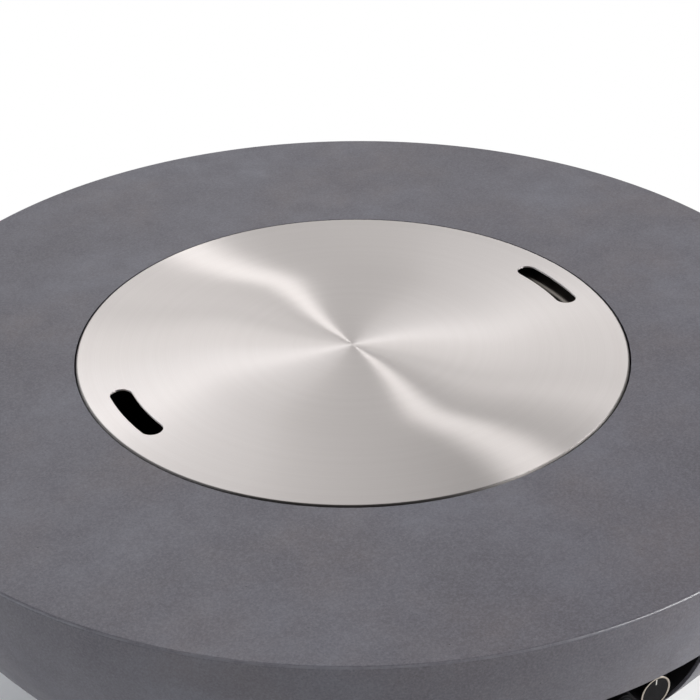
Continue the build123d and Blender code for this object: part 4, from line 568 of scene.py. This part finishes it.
# Leads: the ignition lead in black silicone rubber and the thermocouple's lead in drawn copper, which goes
# dull with age. Both run from the controls to the bracket at the burner.
lead_rubber, tree, shader, place = new_finish("lead_rubber")
bloom = clouds(tree, place, 420, 4)
silicone = ramp(tree, bloom, (0.3, tone(30, 29, 30)), (0.7, tone(48, 46, 46)))
paint(tree, shader, silicone, span(tree, bloom, 0.3, 0.7, 0.5, 0.7))
dress(lead_rubber, "ignition_lead")
lead_copper, tree, shader, place = new_finish("lead_copper", Metallic=1.0)
age = clouds(tree, place, 300, 4)
copper = ramp(tree, age, (0.3, tone(152, 92, 66)), (0.7, tone(208, 142, 108)))
paint(tree, shader, copper, span(tree, age, 0.3, 0.7, 0.42, 0.26))
dress(lead_copper, "sensor_lead")

# Lid: disc of thick stainless sheet with a turned-down rim, brushed on a turntable, so that the grain runs
# in rings and the light fans out from the middle. It lies loose in its rebate.
lid_radius = 0.300
edge_start, edge_full = 0.2980, 0.2992
brushed_stainless, tree, shader, place = new_finish(
    "brushed_stainless", Metallic=1.0, Anisotropic=1.0, Anisotropic_Rotation=0.25)
reach = reach_of(tree, place)
fine = turned_rings(tree, reach, 2200.0)
broad = turned_rings(tree, reach, 120.0, 2.0)
metal = ramp(tree, fine, (0.25, tone(214, 208, 205)), (0.75, tone(224, 218, 216)))
metal = layer(tree, span(tree, broad, 0.3, 0.7, 0.0, 0.14), metal, tone(207, 200, 197))
# The rim is painted darker, as painted shade for the gap round the lid, and made rougher.
painted_dark_rim = span(tree, reach, edge_start, edge_full, 0.0, 1.0)
metal = layer(tree, painted_dark_rim, metal, tone(128, 124, 122))
brushed = span(tree, fine, 0.25, 0.75, 0.334, 0.356)
paint(tree, shader, metal, sums(tree, "ADD", brushed, span(tree, painted_dark_rim, 0.0, 1.0, 0.0, 0.2)))
outward = span(tree, reach, 0.0, lid_radius, 0.0, 1.0)
drift = ramp(tree, outward, (0.15, 0.55), (0.40, 0.95), (0.53, 0.95), (0.70, 0.25), (0.85, 0.0))
drift = span(tree, drift, 0.0, 1.0, radians(-5.5), radians(5.0))
scratches = span(tree, clouds(tree, place, 520, 2, 0.6), 0.3, 0.7, radians(-3.0), radians(3.0))
grain_way = add(tree, "Tangent", {}, direction_type="RADIAL", axis="Z")[0]
strayed = {"Vector": grain_way, "Angle": sums(tree, "ADD", drift, scratches)}
grain_way = add(tree, "VectorRotate", strayed, rotation_type="Z_AXIS")[0]
tree.links.new(grain_way, shader.inputs["Tangent"])
dress(brushed_stainless, "lid")

# Floor: plain white ground, which takes the table's shadow close by and fades to the white of the room
# further out. It throws less light back at the table than it shows.
floor_half = 14
shadow_near, shadow_far = 0.50, 1.25
floor_mesh = bpy.data.meshes.new("floor")
floor_corners = [(x * floor_half, y * floor_half, 0) for x, y in ((-1, -1), (1, -1), (1, 1), (-1, 1))]
floor_mesh.from_pydata(floor_corners, [], [(0, 1, 2, 3)])
floor = bpy.data.objects.new("floor", floor_mesh)
bpy.context.scene.collection.objects.link(floor)
floor_white, tree, shader, place = new_finish("floor_white", Roughness=0.9, Specular_IOR_Level=0.1)
ground_tone = ramp(tree, clouds(tree, place, 2.0, 3), (0.3, 0.92), (0.7, 0.95))
distance = add(tree, "VectorMath", {0: place}, operation="LENGTH")["Value"]
far = span(tree, distance, shadow_near, shadow_far, 0.0, 1.0)
ray = tree.nodes.new("ShaderNodeLightPath").outputs
shown = sums(tree, "MAXIMUM", ray["Is Camera Ray"], ray["Is Glossy Ray"])
tree.links.new(layer(tree, shown, (0.66, 0.66, 0.66, 1.0), ground_tone), shader.inputs["Base Color"])
glow = add(tree, "Emission", {"Color": (1.0, 1.0, 1.0, 1.0), "Strength": 1.0})[0]
ground = add(tree, "MixShader", {0: sums(tree, "MULTIPLY", far, shown), 1: shader.outputs[0], 2: glow})[0]
tree.links.new(ground, tree.nodes["Material Output"].inputs["Surface"])
floor_mesh.materials.append(floor_white)

# Studio light: a tall narrow soft box on the right, a broad weak one high on the far left, and two low
# ones for the bowl's sides, the left one as wide as a wall and a little blue.


def soft_box(name, away, bearing, rise, wide, high, watts, colour=(1.0, 1.0, 1.0)):
    """Rectangular lamp some metres away from the lid's middle and facing it, at a bearing turned right from
    straight away from the camera and a rise above level, both in degrees."""
    lamp = bpy.data.lights.new(name, "AREA")
    lamp.shape = "RECTANGLE"
    lamp.size, lamp.size_y, lamp.energy, lamp.color = wide, high, watts, colour
    box = bpy.data.objects.new(name, lamp)
    bpy.context.scene.collection.objects.link(box)
    turn, lift = radians(bearing), radians(rise)
    out = facing_camera @ Vector((cos(lift) * sin(turn), cos(lift) * cos(turn), sin(lift)))
    standing_at = Matrix.Translation(Vector((0, 0, table_top)) + out * away)
    box.matrix_world = standing_at @ out.to_track_quat("Z", "Y").to_matrix().to_4x4()


soft_box("box_right", away=5.5, bearing=107.6, rise=36.0, wide=0.50, high=4.17, watts=196)
soft_box("box_left", away=2.2, bearing=331.7, rise=55.2, wide=2.15, high=1.80, watts=10.4)
soft_box("low_right", away=3.2, bearing=82.0, rise=12.0, wide=2.2, high=1.6, watts=57)
soft_box("low_left", away=3.2, bearing=276.0, rise=14.0, wide=7.0, high=2.4, watts=64, colour=(0.86, 0.92, 1.0))

# Room: white walls behind the table, a little greyer at the sides and dimmer behind the camera, under a
# dark ceiling. The camera sees plain white in every direction.
ceiling_start, ceiling_full = 0.54, 0.65
room = bpy.data.worlds.new("room")
bpy.context.scene.world = room
room.use_nodes = True
tree = room.node_tree
tree.nodes.clear()
way = tree.nodes.new("ShaderNodeTexCoord").outputs["Generated"]
ahead = facing_camera @ Vector((0, 1, 0))
depth = add(tree, "VectorMath", {0: way, 1: ahead}, operation="DOT_PRODUCT")["Value"]
from_camera = span(tree, depth, -1.0, 1.0, 0.0, 1.0)
walls = ramp(tree, from_camera, (0.20, 0.42), (0.35, 0.62), (0.50, 0.81), (0.74, 0.84), (0.80, 1.0))
ceiling = span(tree, height_of(tree, way), ceiling_start, ceiling_full, 0.0, 1.0)
walls = layer(tree, ceiling, walls, (0.07, 0.07, 0.07, 1.0))
ray = tree.nodes.new("ShaderNodeLightPath").outputs
clear = sums(tree, "MAXIMUM", ray["Is Camera Ray"], ray["Is Transmission Ray"])
seen = layer(tree, clear, walls, (1.0, 1.0, 1.0, 1.0))
lit = add(tree, "Background", {"Color": seen, "Strength": 1.0})[0]
add(tree, "OutputWorld", {"Surface": lit})
bpy.context.scene.view_settings.view_transform = "Standard"
